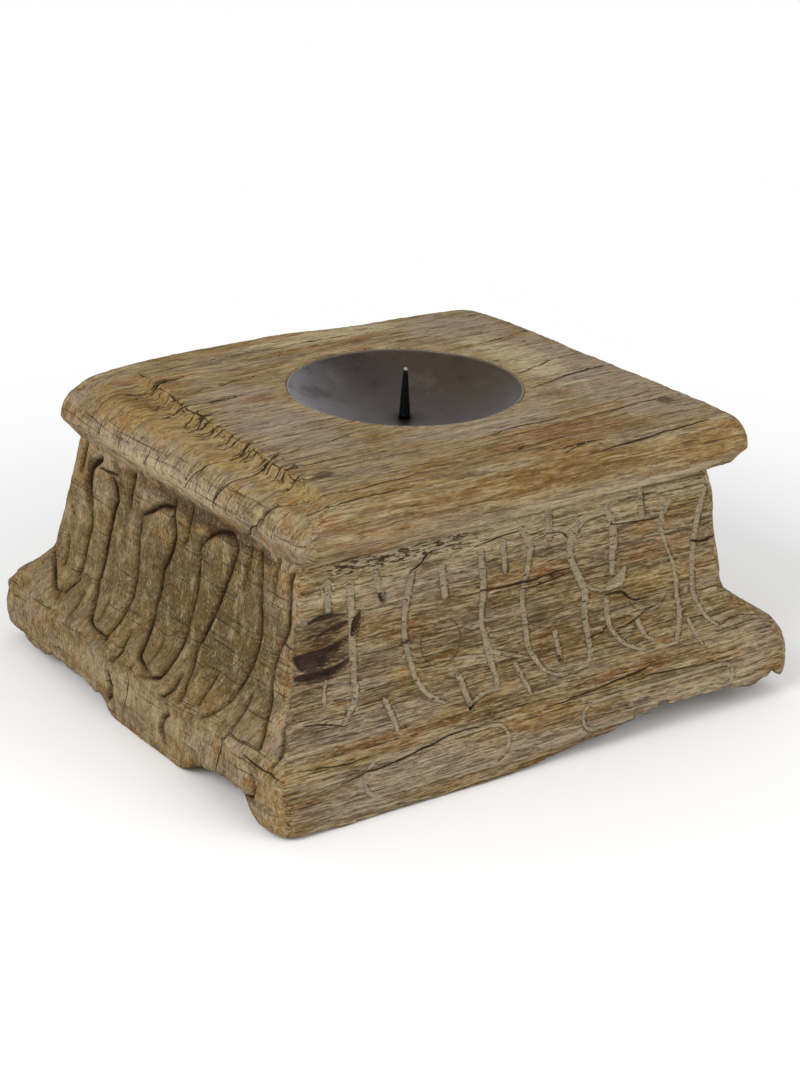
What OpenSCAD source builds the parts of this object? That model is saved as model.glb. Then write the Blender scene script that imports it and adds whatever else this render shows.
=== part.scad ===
// Rustic candle holder: a block carved from one old timber, with a steel dish let into
// its top and a tapered iron spike that pins the dish down and holds the candle.
// Millimetres. +Z is up, the grain runs along X, and the front is towards -Y.
// The origin is the centre of the block's underside.

/* [Timber block] */
// Height of the block
block_h = 136; // [110:1:170]
// Length of the waist along the grain, measured at its top
waist_l = 226; // [190:1:260]
// Width of the waist across the grain, measured at its top
waist_w = 190; // [160:1:220]
// How far the waist has spread on each side where it meets the cove
waist_spread = 8; // [0:0.5:10]
// Radius of the block's upright corners
corner_r = 9; // [3:0.5:14]

/* [Foot band] */
// Height of the foot band
foot_h = 37; // [25:1:45]
// How far the foot stands out from the waist on the left
foot_left = 27; // [22:0.5:38]
// How far the foot stands out from the waist on the right
foot_right = 29.5; // [22:0.5:38]
// How far the foot stands out from the waist at the front
foot_front = 33; // [22:0.5:38]
// How far the foot stands out from the waist at the back
foot_back = 29; // [22:0.5:38]
// How far the foot's upper and lower edges are rounded back
foot_round = 5; // [1:0.5:8]
// Height of the cove between the foot and the waist
cove_h = 20; // [10:1:24]

/* [Top slab] */
// Thickness of the overhanging slab
slab_h = 28; // [26:1:38]
// How far the slab overhangs the waist on the left
slab_left = 6; // [5:0.5:18]
// How far the slab overhangs the waist on the right
slab_right = 12; // [5:0.5:18]
// How far the slab overhangs the waist at the front
slab_front = 15; // [5:0.5:18]
// How far the slab overhangs the waist at the back
slab_back = 7; // [5:0.5:18]
// Height of the slab's edge above its nose
crown_h = 17; // [8:1:19]
// Width of the worn roll from the nose up to the flat top, on the left
roll_left = 25; // [6:0.5:28]
// Width of the roll on the right
roll_right = 18; // [6:0.5:28]
// Width of the roll at the front
roll_front = 12; // [6:0.5:28]
// Width of the roll at the back
roll_back = 9; // [6:0.5:28]
// How far the slab's lower edge is rounded back under the nose
nose_round = 4; // [2:0.5:4.5]
// Height of the sloping underside that carries the waist out to the slab
soffit_h = 4; // [1:0.5:6]

/* [Carving and wear] */
// Width of the carved grooves at the surface
groove_w = 4.2; // [2:0.1:6]
// Depth of the grooves on the front and the back
groove_depth = 1.8; // [0.5:0.1:3.5]
// Depth of the grooves on the two ends
end_groove_depth = 3; // [0.5:0.1:3.5]
// How far in from its edge the foot's underside is worn
worn_in = 36; // [15:1:60]

/* [Dish] */
// Diameter of the dish over its rim
dish_d = 110; // [90:1:120]
// Depth of the dish inside
dish_depth = 15.5; // [11:0.1:20]
// Thickness of the dish's sheet steel
dish_sheet = 1.2; // [0.8:0.1:2]
// Diameter of the flat that is pressed in the middle of the dish
dish_flat_d = 14; // [10:0.5:24]
// How far the dish's rim lies below the top of the block
rim_drop = 0.4; // [0:0.1:2]
// Distance from the middle of the waist to the dish's centre, to the right
dish_x = 11.5; // [-12:0.5:12]
// Distance from the middle of the waist to the dish's centre, to the back
dish_y = 5; // [-12:0.5:12]

/* [Spike] */
// Height of the spike above the dish's flat
spike_h = 24.5; // [15:0.5:45]
// Diameter of the spike at its foot
spike_d = 5.6; // [5:0.1:9]
// Diameter of the spike at its blunt tip
tip_d = 2; // [1:0.1:3]
// Diameter of the shank that is driven into the block
shank_d = 4; // [3:0.1:4.5]
// Length of the shank below the dish
shank_l = 32; // [15:1:50]

/* [Fits] */
// Clearance between the dish's curved back and its seat in the block
seat_gap = 0.3; // [0.1:0.1:1]
// Clearance of the shank in the dish's hole and in its pilot hole, on the radius
shank_gap = 0.05; // [0.03:0.01:0.2]

/* [Hidden] */
$fn = 96;

// The four sides, in the order used by every list of reaches
LEFT = 0;
RIGHT = 1;
FRONT = 2;
BACK = 3;
foot_reach = [foot_left, foot_right, foot_front, foot_back];
slab_reach = [slab_left, slab_right, slab_front, slab_back];
roll_width = [roll_left, roll_right, roll_front, roll_back];

// Heights at which one band of the block's profile gives way to the next
waist_z = foot_h + cove_h;
slab_z = block_h - slab_h;
nose_z = block_h - crown_h;

// The middle of the waist, so that the block's underside is centred on the origin
waist_x = (foot_left - foot_right) / 2;
waist_y = (foot_front - foot_back) / 2;

// The carved grooves, each as a line of [place along the side, height]. The places run from
// left to right as the side is seen, from its middle. Round stretches are blended through them.
face_grooves = [
    [[-98, 98], [-98, 84]],
    [[-86, 95], [-86, 78], [-88, 56], [-92, 46], [-101, 41]],
    [[-73, 97], [-71, 86]],
    [[-55, 94], [-60, 76], [-60, 58], [-56, 42]],
    [[-40, 93], [-39, 80]],
    [[-20, 95], [-19, 78], [-20, 62], [-19, 47], [-22, 40]],
    [[2, 101], [7, 90], [2, 70], [3, 54], [4, 42]],
    [[18, 107], [18, 94]],
    [[45, 98], [31, 92], [31, 78], [36, 62], [34, 46], [24, 40]],
    [[51, 101], [54, 88], [52, 72]],
    [[48, 61], [48, 48], [56, 40], [72, 38]],
    [[71, 106], [71, 94]],
    [[88, 97], [82, 86], [88, 68], [88, 48], [78, 39]],
    [[107, 99], [102, 84], [99, 64], [101, 43]]
];
end_grooves = [
    [[-84, 106], [-86, 94]],
    [[-69, 104], [-77, 94], [-71, 74], [-73, 58], [-73, 44]],
    [[-58, 98], [-51, 90], [-54, 74], [-57, 50], [-48, 39], [-30, 36]],
    [[-38, 106], [-39, 91]],
    [[-28, 91], [-27, 66], [-28, 48], [-27, 36]],
    [[-3, 106], [-1, 90], [-6, 70], [-7, 50], [0, 38], [14, 35]],
    [[11, 107], [9, 91]],
    [[22, 92], [23, 74], [21, 52], [22, 36]],
    [[22, 92], [34, 103], [49, 101], [43, 79], [31, 50], [42, 37]],
    [[60, 105], [58, 88]],
    [[67, 105], [74, 76], [70, 52], [67, 37]],
    [[92, 104], [93, 80], [88, 58], [96, 43], [103, 37]]
];
// Height to which each side's foot is worn away underneath, as [place along the side, height]
// in the same order of places. Below zero it is whole.
worn_underside = [
    [[-126, 5], [-78, 10], [-27, 8], [-14, -1], [42, -1], [54, 6], [67, 15], [98, 16], [106, -1], [126, 3]],
    [[-126, 12], [-60, 4], [0, -1], [126, -1]],
    [[-142, 3], [-120, -1], [-22, -1], [20, 6], [60, 14], [142, 12]],
    [[-142, -1], [60, -1], [142, 9]]
];

// How finely each band and each corner is stepped
foot_steps = 8;
cove_steps = 6;
waist_steps = 3;
nose_steps = 4;
roll_steps = 8;
corner_steps = 5;
groove_steps = 2;

// Reach of a side past the waist at each height, as [height, reach], from the floor up.
// The foot's face swells to its middle and is rounded back at both edges.
function foot_profile(side) = [
    for (i = [0:foot_steps])
        let (t = i / foot_steps, off_middle = abs(2 * t - 1))
        [t * foot_h, foot_reach[side] - foot_round * pow(off_middle, 3)]
];
// The cove sweeps in from the foot and dies into the waist
function cove_profile(side) = [
    for (i = [1:cove_steps])
        let (t = i / cove_steps)
        [foot_h + t * cove_h,
         waist_spread + (foot_reach[side] - foot_round - waist_spread) * pow(1 - t, 2)]
];
function waist_profile() = [
    for (i = [1:waist_steps])
        let (t = i / waist_steps)
        [waist_z + t * (slab_z - waist_z), waist_spread * (1 - t)]
];
// The slab's edge below its nose is a quarter of an ellipse
function nose_profile(side) = [
    for (i = [0:nose_steps])
        let (a = 90 * i / nose_steps)
        [slab_z + soffit_h + (nose_z - slab_z - soffit_h) * sin(a),
         slab_reach[side] - nose_round * (1 - sin(a))]
];
// Above the nose a wider quarter rolls over to the flat top
function roll_profile(side) = [
    for (i = [1:roll_steps])
        let (a = 90 * i / roll_steps)
        [nose_z + crown_h * sin(a), slab_reach[side] - roll_width[side] * (1 - cos(a))]
];
function side_profile(side) = concat(
    foot_profile(side), cove_profile(side), waist_profile(),
    nose_profile(side), roll_profile(side)
);

// One level of the block: a rectangle with rounded corners, anticlockwise from +X
function level_ring(z, reach) = [
    for (quarter = [0:3], step = [0:corner_steps])
        let (
            a = 90 * (quarter + step / corner_steps),
            x = (quarter == 0 || quarter == 3)
                ? waist_l / 2 + reach[RIGHT] - corner_r
                : corner_r - waist_l / 2 - reach[LEFT],
            y = quarter < 2
                ? waist_w / 2 + reach[BACK] - corner_r
                : corner_r - waist_w / 2 - reach[FRONT]
        )
        [x + corner_r * cos(a), y + corner_r * sin(a), z]
];

module carved_form() {
    profiles = [for (side = [LEFT, RIGHT, FRONT, BACK]) side_profile(side)];
    levels = len(profiles[LEFT]);
    around = 4 * (corner_steps + 1);
    points = [
        for (level = [0:levels - 1])
            each level_ring(profiles[LEFT][level][0], [for (p = profiles) p[level][1]])
    ];
    underside = [[for (i = [0:around - 1]) i]];
    top = [[for (i = [around - 1:-1:0]) (levels - 1) * around + i]];
    walls = [
        for (level = [0:levels - 2], i = [0:around - 1])
            let (
                a = level * around + i,
                b = level * around + (i + 1) % around
            )
            each [[a, a + around, b], [b, a + around, b + around]]
    ];
    polyhedron(points, concat(underside, walls, top), convexity = 4);
}

// A rounded line through points, two steps to each stretch (Catmull and Rom's blend)
function blended(points) = [
    for (i = [0:len(points) - 2], step = [0:groove_steps - 1])
        let (
            t = step / groove_steps,
            a = points[max(i - 1, 0)],
            b = points[i],
            c = points[i + 1],
            d = points[min(i + 2, len(points) - 1)]
        )
        b + (c - a) * t / 2 + (a - 2.5 * b + 2 * c - 0.5 * d) * t * t
            + (1.5 * b - 0.5 * a - 1.5 * c + 0.5 * d) * t * t * t,
    points[len(points) - 1]
];

// A solid strung along three-cornered sections
module strung(sections) {
    last = len(sections) - 1;
    caps = [[0, 1, 2], [3 * last + 2, 3 * last + 1, 3 * last]];
    walls = [
        for (i = [0:last - 1], j = [0:2])
            let (a = 3 * i + j, b = 3 * i + (j + 1) % 3)
            each [[a, a + 3, b], [b, a + 3, b + 3]]
    ];
    polyhedron([for (section = sections) each section], concat(caps, walls), convexity = 4);
}

// Turns what is drawn for a side seen from the front onto that side
module on_side(side) {
    turn = [-90, 90, 0, 180];
    rotate([0, 0, turn[side]]) children();
}

// Distance from the middle of the part out to the waist's face on a side
function waist_out(side) = [
    waist_l / 2 - waist_x, waist_l / 2 + waist_x, waist_w / 2 - waist_y, waist_w / 2 + waist_y
][side];

// A groove cut in a side's face: its lips stand proud of the face and its bottom lies at depth
module groove(side, line, depth) {
    path = blended(line);
    proud = 1.5;
    half = groove_w / 2 * (1 + proud / depth);
    profile = side_profile(side);
    last = len(path) - 1;
    sections = [
        for (i = [0:last])
            let (
                way = path[min(i + 1, last)] - path[max(i - 1, 0)],
                across = [-way[1], way[0]] / norm(way) * half,
                one = path[i] + across,
                other = path[i] - across,
                out = waist_out(side)
            )
            [
                [one[0], -out - lookup(one[1], profile) - proud, one[1]],
                [other[0], -out - lookup(other[1], profile) - proud, other[1]],
                [path[i][0], depth - out - lookup(path[i][1], profile), path[i][1]]
            ]
    ];
    on_side(side) strung(sections);
}

// The wedge that is worn away under one side's foot
module worn_edge(side) {
    face = waist_out(side) + side_profile(side)[foot_steps / 2][1];
    under = 2;
    sections = [
        for (place = worn_underside[side])
            [
                [place[0], -face - under, place[1]],
                [place[0], -face - under, -under],
                [place[0], worn_in - face, -under]
            ]
    ];
    on_side(side) strung(sections);
}

// The dish's flat rests on the flat of its seat. From there its back rises along an arc,
// and the inside of the sheet follows the same arc, one sheet further in.
rim_z = block_h - rim_drop;
flat_r = dish_flat_d / 2;
back_depth = dish_depth + dish_sheet;
back_r = (pow(dish_d / 2 - flat_r, 2) + pow(back_depth, 2)) / (2 * back_depth);
arc_z = rim_z - back_depth + back_r;
seat_z = arc_z - back_r;
arc_steps = 24;
// The shank's point is as long as the shank is thick
point_l = shank_d;
// Cuts run on past a surface by this much, so that they open cleanly
break_out = 1;

// Half section of a bowl: a flat, an arc of radius r up to the rim, and a level top.
// flat is the radius at which the arc starts.
function bowl_section(r, flat) =
    let (sweep = acos((arc_z - rim_z) / r))
    concat(
        [[0, arc_z - r]],
        [
            for (i = [0:arc_steps])
                let (a = sweep * i / arc_steps)
                [flat + r * sin(a), arc_z - r * cos(a)]
        ],
        [[0, rim_z]]
    );

module at_dish() {
    translate([waist_x + dish_x, waist_y + dish_y, 0]) children();
}

// The recess that the dish drops into, with a straight mouth above the rim
module dish_seat() {
    rotate_extrude() polygon(bowl_section(back_r, flat_r + seat_gap));
    translate([0, 0, rim_z]) cylinder(r = dish_d / 2 + seat_gap, h = rim_drop + break_out);
}

// The hole for the shank, in the dish and in the block under it
module shank_hole() {
    translate([0, 0, seat_z - shank_l - point_l])
        cylinder(d = shank_d + 2 * shank_gap, h = shank_l + point_l + dish_sheet + break_out);
}
// The timber: foot band, cove, waist and slab in one piece, with the dish's seat turned
// into its top and a pilot hole for the spike
module wood_block() {
    color("#9c8560") difference() {
        translate([waist_x, waist_y, 0]) carved_form();
        at_dish() {
            dish_seat();
            shank_hole();
        }
        for (side = [LEFT, RIGHT], line = end_grooves) groove(side, line, end_groove_depth);
        for (side = [FRONT, BACK], line = face_grooves) groove(side, line, groove_depth);
        for (side = [LEFT, RIGHT, FRONT, BACK]) worn_edge(side);
    }
}

// The dish: sheet steel pressed to a bowl, with its rim cut level
module candle_dish() {
    color("#4b4544") at_dish() difference() {
        rotate_extrude() polygon(bowl_section(back_r, flat_r));
        rotate_extrude() polygon(bowl_section(back_r - dish_sheet, flat_r));
        shank_hole();
    }
}

// The spike: its shoulder bears on the dish's flat, and its pointed shank holds in the block
module candle_spike() {
    tip_r = tip_d / 2;
    color("#232629") at_dish() translate([0, 0, seat_z + dish_sheet]) {
        cylinder(d1 = spike_d, d2 = tip_d, h = spike_h - tip_r);
        translate([0, 0, spike_h - tip_r]) sphere(r = tip_r);
        translate([0, 0, -dish_sheet - shank_l])
            cylinder(d = shank_d, h = shank_l + dish_sheet);
        translate([0, 0, -dish_sheet - shank_l - point_l])
            cylinder(d1 = 0, d2 = shank_d, h = point_l);
    }
}

wood_block();
candle_dish();
candle_spike();
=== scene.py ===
# A rustic candle holder: a block carved from one old weathered timber, a dark steel dish
# let flush into its top, and a tapered iron spike in the middle of the dish.
# Sizes below are in millimetres and are turned to metres once, when a mesh is made.
import math
from itertools import product

import bpy
import numpy as np
from mathutils import Matrix, Vector


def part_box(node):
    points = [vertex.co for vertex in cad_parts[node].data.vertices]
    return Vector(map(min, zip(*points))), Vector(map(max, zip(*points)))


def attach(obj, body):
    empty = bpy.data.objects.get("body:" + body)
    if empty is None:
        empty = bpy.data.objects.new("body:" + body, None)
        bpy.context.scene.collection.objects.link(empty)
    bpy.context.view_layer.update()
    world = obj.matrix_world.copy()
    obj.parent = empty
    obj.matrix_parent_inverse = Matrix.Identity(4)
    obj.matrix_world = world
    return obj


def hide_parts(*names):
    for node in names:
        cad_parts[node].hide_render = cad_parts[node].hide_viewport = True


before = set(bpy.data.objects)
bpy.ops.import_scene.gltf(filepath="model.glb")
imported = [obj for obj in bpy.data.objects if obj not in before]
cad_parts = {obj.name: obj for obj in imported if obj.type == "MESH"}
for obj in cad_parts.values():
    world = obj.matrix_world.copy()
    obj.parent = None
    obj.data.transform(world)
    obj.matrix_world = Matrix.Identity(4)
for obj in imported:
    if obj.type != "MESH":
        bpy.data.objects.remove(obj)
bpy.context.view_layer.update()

MM = 0.001

# ---------------------------------------------------------------- sizes from the frame

def box_mm(node):
    """Lowest and highest corner of a node, in millimetres."""
    low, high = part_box(node)
    return np.array(low) / MM, np.array(high) / MM


block_low, block_high = box_mm("wood_block")
dish_low, dish_high = box_mm("candle_dish")
spike_low, spike_high = box_mm("candle_spike")

LEFT, RIGHT, FRONT, BACK = range(4)
# How far the foot and the slab stand out past the waist, and how wide the slab's roll is, on the
# left, right, front and back
FOOT_REACH = np.array([27.0, 29.5, 33.0, 29.0])
SLAB_REACH = np.array([6.0, 12.0, 15.0, 7.0])
ROLL_WIDTH = np.array([25.0, 18.0, 12.0, 9.0])
FOOT_H, FOOT_ROUND = 37.0, 5.0
COVE_H, WAIST_SPREAD = 20.0, 8.0
SLAB_H, CROWN_H, NOSE_ROUND, SOFFIT_H = 28.0, 17.0, 4.0, 4.0
CORNER_R, CRISP_CORNER_R = 9.0, 4.5

TOP_Z = block_high[2]
WAIST_Z = FOOT_H + COVE_H
SLAB_Z = TOP_Z - SLAB_H
NOSE_Z = TOP_Z - CROWN_H

# The waist's upright faces, as low x, high x, low y and high y
WAIST = np.array([block_low[0] + FOOT_REACH[LEFT], block_high[0] - FOOT_REACH[RIGHT],
                  block_low[1] + FOOT_REACH[FRONT], block_high[1] - FOOT_REACH[BACK]])

DISH_X, DISH_Y = (dish_low[:2] + dish_high[:2]) / 2
DISH_R = (dish_high[0] - dish_low[0]) / 2
RIM_Z = dish_high[2]
DISH_BASE = dish_low[2]
DISH_SHEET = 1.2
DISH_FLAT_R = 7.0
SHANK_R, SHANK_GAP = 2.0, 0.1
# The turned seat in the timber clears the dish by this much at its lip and under its bowl
LIP_GAP, BOWL_GAP = 0.4, 0.6
BOWL_R = ((DISH_R - DISH_FLAT_R) ** 2 + (RIM_Z - DISH_BASE) ** 2) / (2 * (RIM_Z - DISH_BASE))

# ---------------------------------------------------------------- small tools


NOISE_CELLS = 32


def value_noise(points, cell, seed, octaves=1):
    """Smooth random field from -1 to 1 at each point; cell is its grid in mm on each axis."""
    total = np.zeros(len(points))
    weight = 1.0
    spread = 0.0
    for octave in range(octaves):
        table = np.random.RandomState(seed + 101 * octave).uniform(-1, 1, (NOISE_CELLS,) * 3)
        grid = points / (np.asarray(cell, float) / 2 ** octave) + 7.3 * octave
        low = np.floor(grid).astype(int)
        part = grid - low
        part = part * part * (3 - 2 * part)
        for corner in product((0, 1), repeat=3):
            share = np.prod(np.where(corner, part, 1 - part), axis=1)
            index = (low + corner) % NOISE_CELLS
            total += weight * share * table[index[:, 0], index[:, 1], index[:, 2]]
        spread += weight
        weight /= 2
    return total / spread


def fade(value, start, end):
    """0 up to start, 1 from end on, and smooth in between; a start above the end fades downwards."""
    t = np.clip((value - start) / (end - start), 0, 1)
    return t * t * (3 - 2 * t)


def smooth_line(points, spacing=1.5):
    """A rounded line through given points, with every column blended along it."""
    points = np.asarray(points, float)
    padded = np.vstack([2 * points[0] - points[1], points, 2 * points[-1] - points[-2]])
    line = []
    for before, start, end, after in zip(padded, padded[1:], padded[2:], padded[3:]):
        steps = max(2, int(np.linalg.norm(end - start) / spacing))
        for t in np.arange(steps) / steps:
            line.append(0.5 * (2 * start + (end - before) * t
                               + (2 * before - 5 * start + 4 * end - after) * t ** 2
                               + (3 * start - before - 3 * end + after) * t ** 3))
    line.append(points[-1])
    return np.array(line)


# ---------------------------------------------------------------- form of the block


def side_rows(step):
    """Heights and the four sides' reaches past the waist, from the floor to the flat top."""
    rows = []
    # Each stretch's own length over the step gives its number of rows
    for t in np.linspace(0, 1, int(40 / step)):
        rows.append((t * FOOT_H, FOOT_REACH - FOOT_ROUND * abs(2 * t - 1) ** 3))
    for t in np.linspace(0, 1, int(28 / step))[1:]:
        sweep = (FOOT_REACH - FOOT_ROUND - WAIST_SPREAD) * (1 - t) ** 2
        rows.append((FOOT_H + t * COVE_H, WAIST_SPREAD + sweep))
    for t in np.linspace(0, 1, int(54 / step))[1:]:
        rows.append((WAIST_Z + t * (SLAB_Z - WAIST_Z), WAIST_SPREAD * (1 - t) + 0 * SLAB_REACH))
    for t in np.linspace(0, 1, int(8 / step))[1:]:
        rows.append((SLAB_Z + t * SOFFIT_H, t * (SLAB_REACH - NOSE_ROUND)))
    for a in np.linspace(0, math.pi / 2, int(9 / step))[1:]:
        height = SLAB_Z + SOFFIT_H + (NOSE_Z - SLAB_Z - SOFFIT_H) * math.sin(a)
        rows.append((height, SLAB_REACH - NOSE_ROUND * (1 - math.sin(a))))
    for a in np.linspace(0, math.pi / 2, int(30 / step))[1:]:
        rows.append((NOSE_Z + CROWN_H * math.sin(a), SLAB_REACH - ROLL_WIDTH * (1 - math.cos(a))))
    return np.array([r[0] for r in rows]), np.array([r[1] for r in rows])


PROFILE_Z, PROFILE_REACH = side_rows(0.5)
# The slab's edge counts as its roll down to this far under the nose
ROLL_DROP = 8.0


def on_side(side, along, height):
    """Point of the plain form at a place along one side and a height."""
    reach = np.interp(height, PROFILE_Z, PROFILE_REACH[:, side])
    along = np.asarray(along, float)
    height = np.asarray(height, float)
    if side in (LEFT, RIGHT):
        across = WAIST[0] - reach if side == LEFT else WAIST[1] + reach
        return np.stack([across, along, height], -1)
    across = WAIST[2] - reach if side == FRONT else WAIST[3] + reach
    return np.stack([along, across, height], -1)


def over_edge(side, along, run):
    """Point on the top or the rolled edge; run is the way out and down from the flat's end."""
    crown = PROFILE_Z >= NOSE_Z - ROLL_DROP
    height = PROFILE_Z[crown][::-1]
    reach = PROFILE_REACH[crown, side][::-1]
    length = np.concatenate([[0], np.cumsum(np.hypot(np.diff(height), np.diff(reach)))])
    run = np.asarray(run, float)
    out = np.interp(run, length, reach) + np.minimum(run, 0)
    high = np.interp(run, length, height)
    low_x, high_x, low_y, high_y = WAIST
    along = np.asarray(along, float)
    if side in (LEFT, RIGHT):
        return np.stack([low_x - out if side == LEFT else high_x + out, along, high], -1)
    return np.stack([along, low_y - out if side == FRONT else high_y + out, high], -1)


def column_shares(step):
    """How each column of the block's skin sits on its four sides and corners, front first."""
    columns = []
    turns = max(6, round(CORNER_R * math.pi / 2 / step))
    ends = {FRONT: (0, 1, 0, 0), RIGHT: (1, 1, 0, 1), BACK: (1, 0, 1, 1), LEFT: (0, 0, 1, 0)}
    for quarter, side in enumerate((FRONT, RIGHT, BACK, LEFT)):
        x_a, x_b, y_a, y_b = ends[side]
        length = WAIST[1] - WAIST[0] if side in (FRONT, BACK) else WAIST[3] - WAIST[2]
        count = round(length / step)
        for u in np.arange(count) / count:
            x = x_a + (x_b - x_a) * u
            y = y_a + (y_b - y_a) * u
            columns.append((x, 1 - 2 * x if x_a != x_b else 0, y, 1 - 2 * y if y_a != y_b else 0))
        for u in np.arange(turns) / turns:
            angle = math.pi / 2 * (quarter - 1 + u)
            x_in = 1 if math.cos(math.pi / 2 * (quarter - 0.5)) > 0 else 0
            y_in = 1 if math.sin(math.pi / 2 * (quarter - 0.5)) > 0 else 0
            columns.append((x_in, 1 - 2 * x_in + math.cos(angle), y_in, 1 - 2 * y_in + math.sin(angle)))
    return np.array(columns)


def block_skin(step):
    """The plain form as rows of points, from under the block up over it and into its seat."""
    x_share, x_corner, y_share, y_corner = column_shares(step).T
    heights, reaches = side_rows(step)

    def ring(reach, height):
        x = (WAIST[0] - reach[LEFT]) * (1 - x_share) + (WAIST[1] + reach[RIGHT]) * x_share
        y = (WAIST[2] - reach[FRONT]) * (1 - y_share) + (WAIST[3] + reach[BACK]) * y_share
        # The front left corner is crisper from the foot's upper half up to the slab
        crisp = ((1 - x_share) * (1 - y_share) > 0.5) * fade(height, SLAB_Z + 4, SLAB_Z - 2)
        corner_r = CORNER_R + (CRISP_CORNER_R - CORNER_R) * crisp * fade(height, 12, 26)
        return np.stack([x + corner_r * x_corner, y + corner_r * y_corner, height + 0 * x], -1)

    # Under the block the rings close in on a small one, and crowd towards the foot's edge
    rows = []
    foot = ring(reaches[0], 0.0)
    for t in 1 - np.linspace(1, 0, int(30 / step)) ** 1.6:
        rows.append(foot * [max(t, 0.004), max(t, 0.004), 1])
    rows += [ring(reach, height) for reach, height in zip(reaches[1:], heights[1:])]
    rim = rows[-1]
    around = np.arctan2(rim[:, 1] - DISH_Y, rim[:, 0] - DISH_X)
    circle = np.stack([np.cos(around), np.sin(around), 0 * around], -1)
    centre = np.array([DISH_X, DISH_Y, 0])
    lip = centre + circle * (DISH_R + LIP_GAP) + [0, 0, TOP_Z]
    for t in np.linspace(0, 1, int(52 / step))[1:]:
        rows.append(rim * (1 - t) + lip * t)
    open_rows = len(rows)
    bowl_r = BOWL_R + BOWL_GAP
    seat_base = DISH_BASE + BOWL_R - bowl_r
    for t in np.linspace(0.02, 1, 14):
        height = RIM_Z - LIP_GAP - t * (RIM_Z - LIP_GAP - seat_base)
        out = math.sqrt(max(bowl_r ** 2 - (DISH_BASE + BOWL_R - height) ** 2, 0))
        rows.append(centre + circle * (DISH_FLAT_R + out) + [0, 0, height])
    for height in (seat_base, spike_low[2] - LIP_GAP):
        rows.append(centre + circle * (SHANK_R + SHANK_GAP) + [0, 0, height])
    return np.array(rows), open_rows


# ---------------------------------------------------------------- carving and wear

# Each cut is a line of (place along the side, height, width of the cut there).
FRONT_CUTS = [
    [(-98, 98, 3.6), (-98.5, 84.5, 3.6)],
    [(-102, 97, 1.4), (-100, 88, 1.6)],
    [(-86.5, 95, 4), (-86.5, 80, 4), (-87.5, 68, 4), (-87.5, 56, 3.6), (-88.5, 49, 3.4),
     (-93, 45.5, 3), (-101, 41.5, 2)],
    [(-73.5, 97, 3), (-72.5, 92, 3.6), (-71, 86, 3.4)],
    [(-55, 94, 3), (-58.5, 84, 3.6), (-60.5, 75, 3.2), (-61, 68, 3.2), (-60, 60, 3.2),
     (-58.5, 53, 3), (-58, 47, 3), (-55.5, 42.5, 3), (-51, 40, 2)],
    [(-40, 92.5, 3.6), (-39, 80, 4)],
    [(-102.5, 56, 2), (-105.5, 48.5, 2.4)],
    [(-76.5, 45, 3), (-77.5, 40, 3), (-79, 36.5, 2.6)],
    [(-82, 36, 1.2), (-75.5, 36, 1.4)],
    [(-37.5, 46, 3.6), (-38.5, 41, 3.6), (-40.5, 37.5, 3)],
    [(-40.5, 37.5, 2.4), (-31, 39.5, 2.4), (-22, 40, 2.4)],
    [(-19, 95, 3.2), (-18.5, 84, 3.8), (-19, 76, 3.6), (-20.5, 68, 3), (-20.5, 62, 3),
     (-18.5, 54, 4), (-19, 47, 3.6), (-20, 43, 3.2), (-22.5, 40, 2.6)],
    [(-7, 97, 3.2), (-6.5, 84, 3)],
    [(-7.5, 45, 3), (-8.5, 36.5, 2.6)],
    [(2.5, 101, 2.6), (7.5, 93, 3.8), (6.5, 85, 3.4), (4, 78, 3.2), (2, 71, 3.2), (2, 63, 3.2),
     (3, 55, 3.2), (2.5, 48, 3.2), (4, 41.5, 2.8)],
    [(8, 96, 1.2), (21, 98, 1)],
    [(18.5, 52, 3), (17, 46, 3), (15, 43, 2.6)],
    [(18.5, 107, 3.8), (18.5, 94, 3.6)],
    [(51, 99, 2), (43, 98.5, 2.4), (37, 97.5, 3), (31.5, 92, 4), (29.5, 85, 4), (31, 79, 4),
     (34, 72, 4.2), (36.5, 65, 4), (36, 57, 4), (35.5, 50, 3.6), (33, 44.5, 3), (28.5, 40.5, 2.6),
     (20, 39, 2), (10, 39, 2), (4, 41, 2)],
    [(36.5, 68, 2.4), (43, 65, 2), (50, 64, 2)],
    [(50.5, 101, 3), (53.5, 95, 4), (54.5, 88, 4.8), (53.5, 80, 4.4), (52, 71, 3)],
    [(59.5, 71.5, 3), (56, 67, 6), (51, 65.5, 5)],
    [(48.5, 61, 3), (48.5, 54, 3.2), (48, 48, 3), (49.5, 43.5, 3), (53, 41, 2.6), (60, 38.5, 2),
     (68, 38.5, 1.8), (76, 38.5, 2)],
    [(70.5, 106, 3), (71, 94, 3.6)],
    [(88, 97, 3), (83.5, 93.5, 3.4), (81.5, 88, 3), (82.5, 82, 2.4), (85, 74, 1.8), (88, 67, 2.6),
     (89, 58, 3), (89, 52, 3), (87.5, 47, 3), (82, 42, 3), (76, 38.5, 2.4)],
    [(88, 97.5, 1.6), (96, 98.5, 1.6), (107, 98, 1.6)],
    [(107, 99, 2.6), (103.5, 92, 3.4), (102, 84, 3.6), (100.5, 76, 3.4), (99, 67, 3.4),
     (98.5, 58, 3.2), (99, 50, 3), (100.5, 43, 2.6), (104, 39.5, 2)],
    [(63.5, 49.5, 3), (63.5, 43, 3), (66, 41, 2.4)],
    [(61, 50, 1.4), (75, 50.5, 1)],
    [(90, 44, 2.6), (89, 40, 2.6), (88.5, 36, 2)],
    [(-29, 64, 2), (-25, 63.5, 4), (-21, 64, 3)],
    [(-45, 53, 1), (-33, 51.5, 2), (-21, 50, 1.6)],
    [(-18, 51, 1.6), (-8, 48, 2.6), (2, 45, 1.2)],
]
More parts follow.
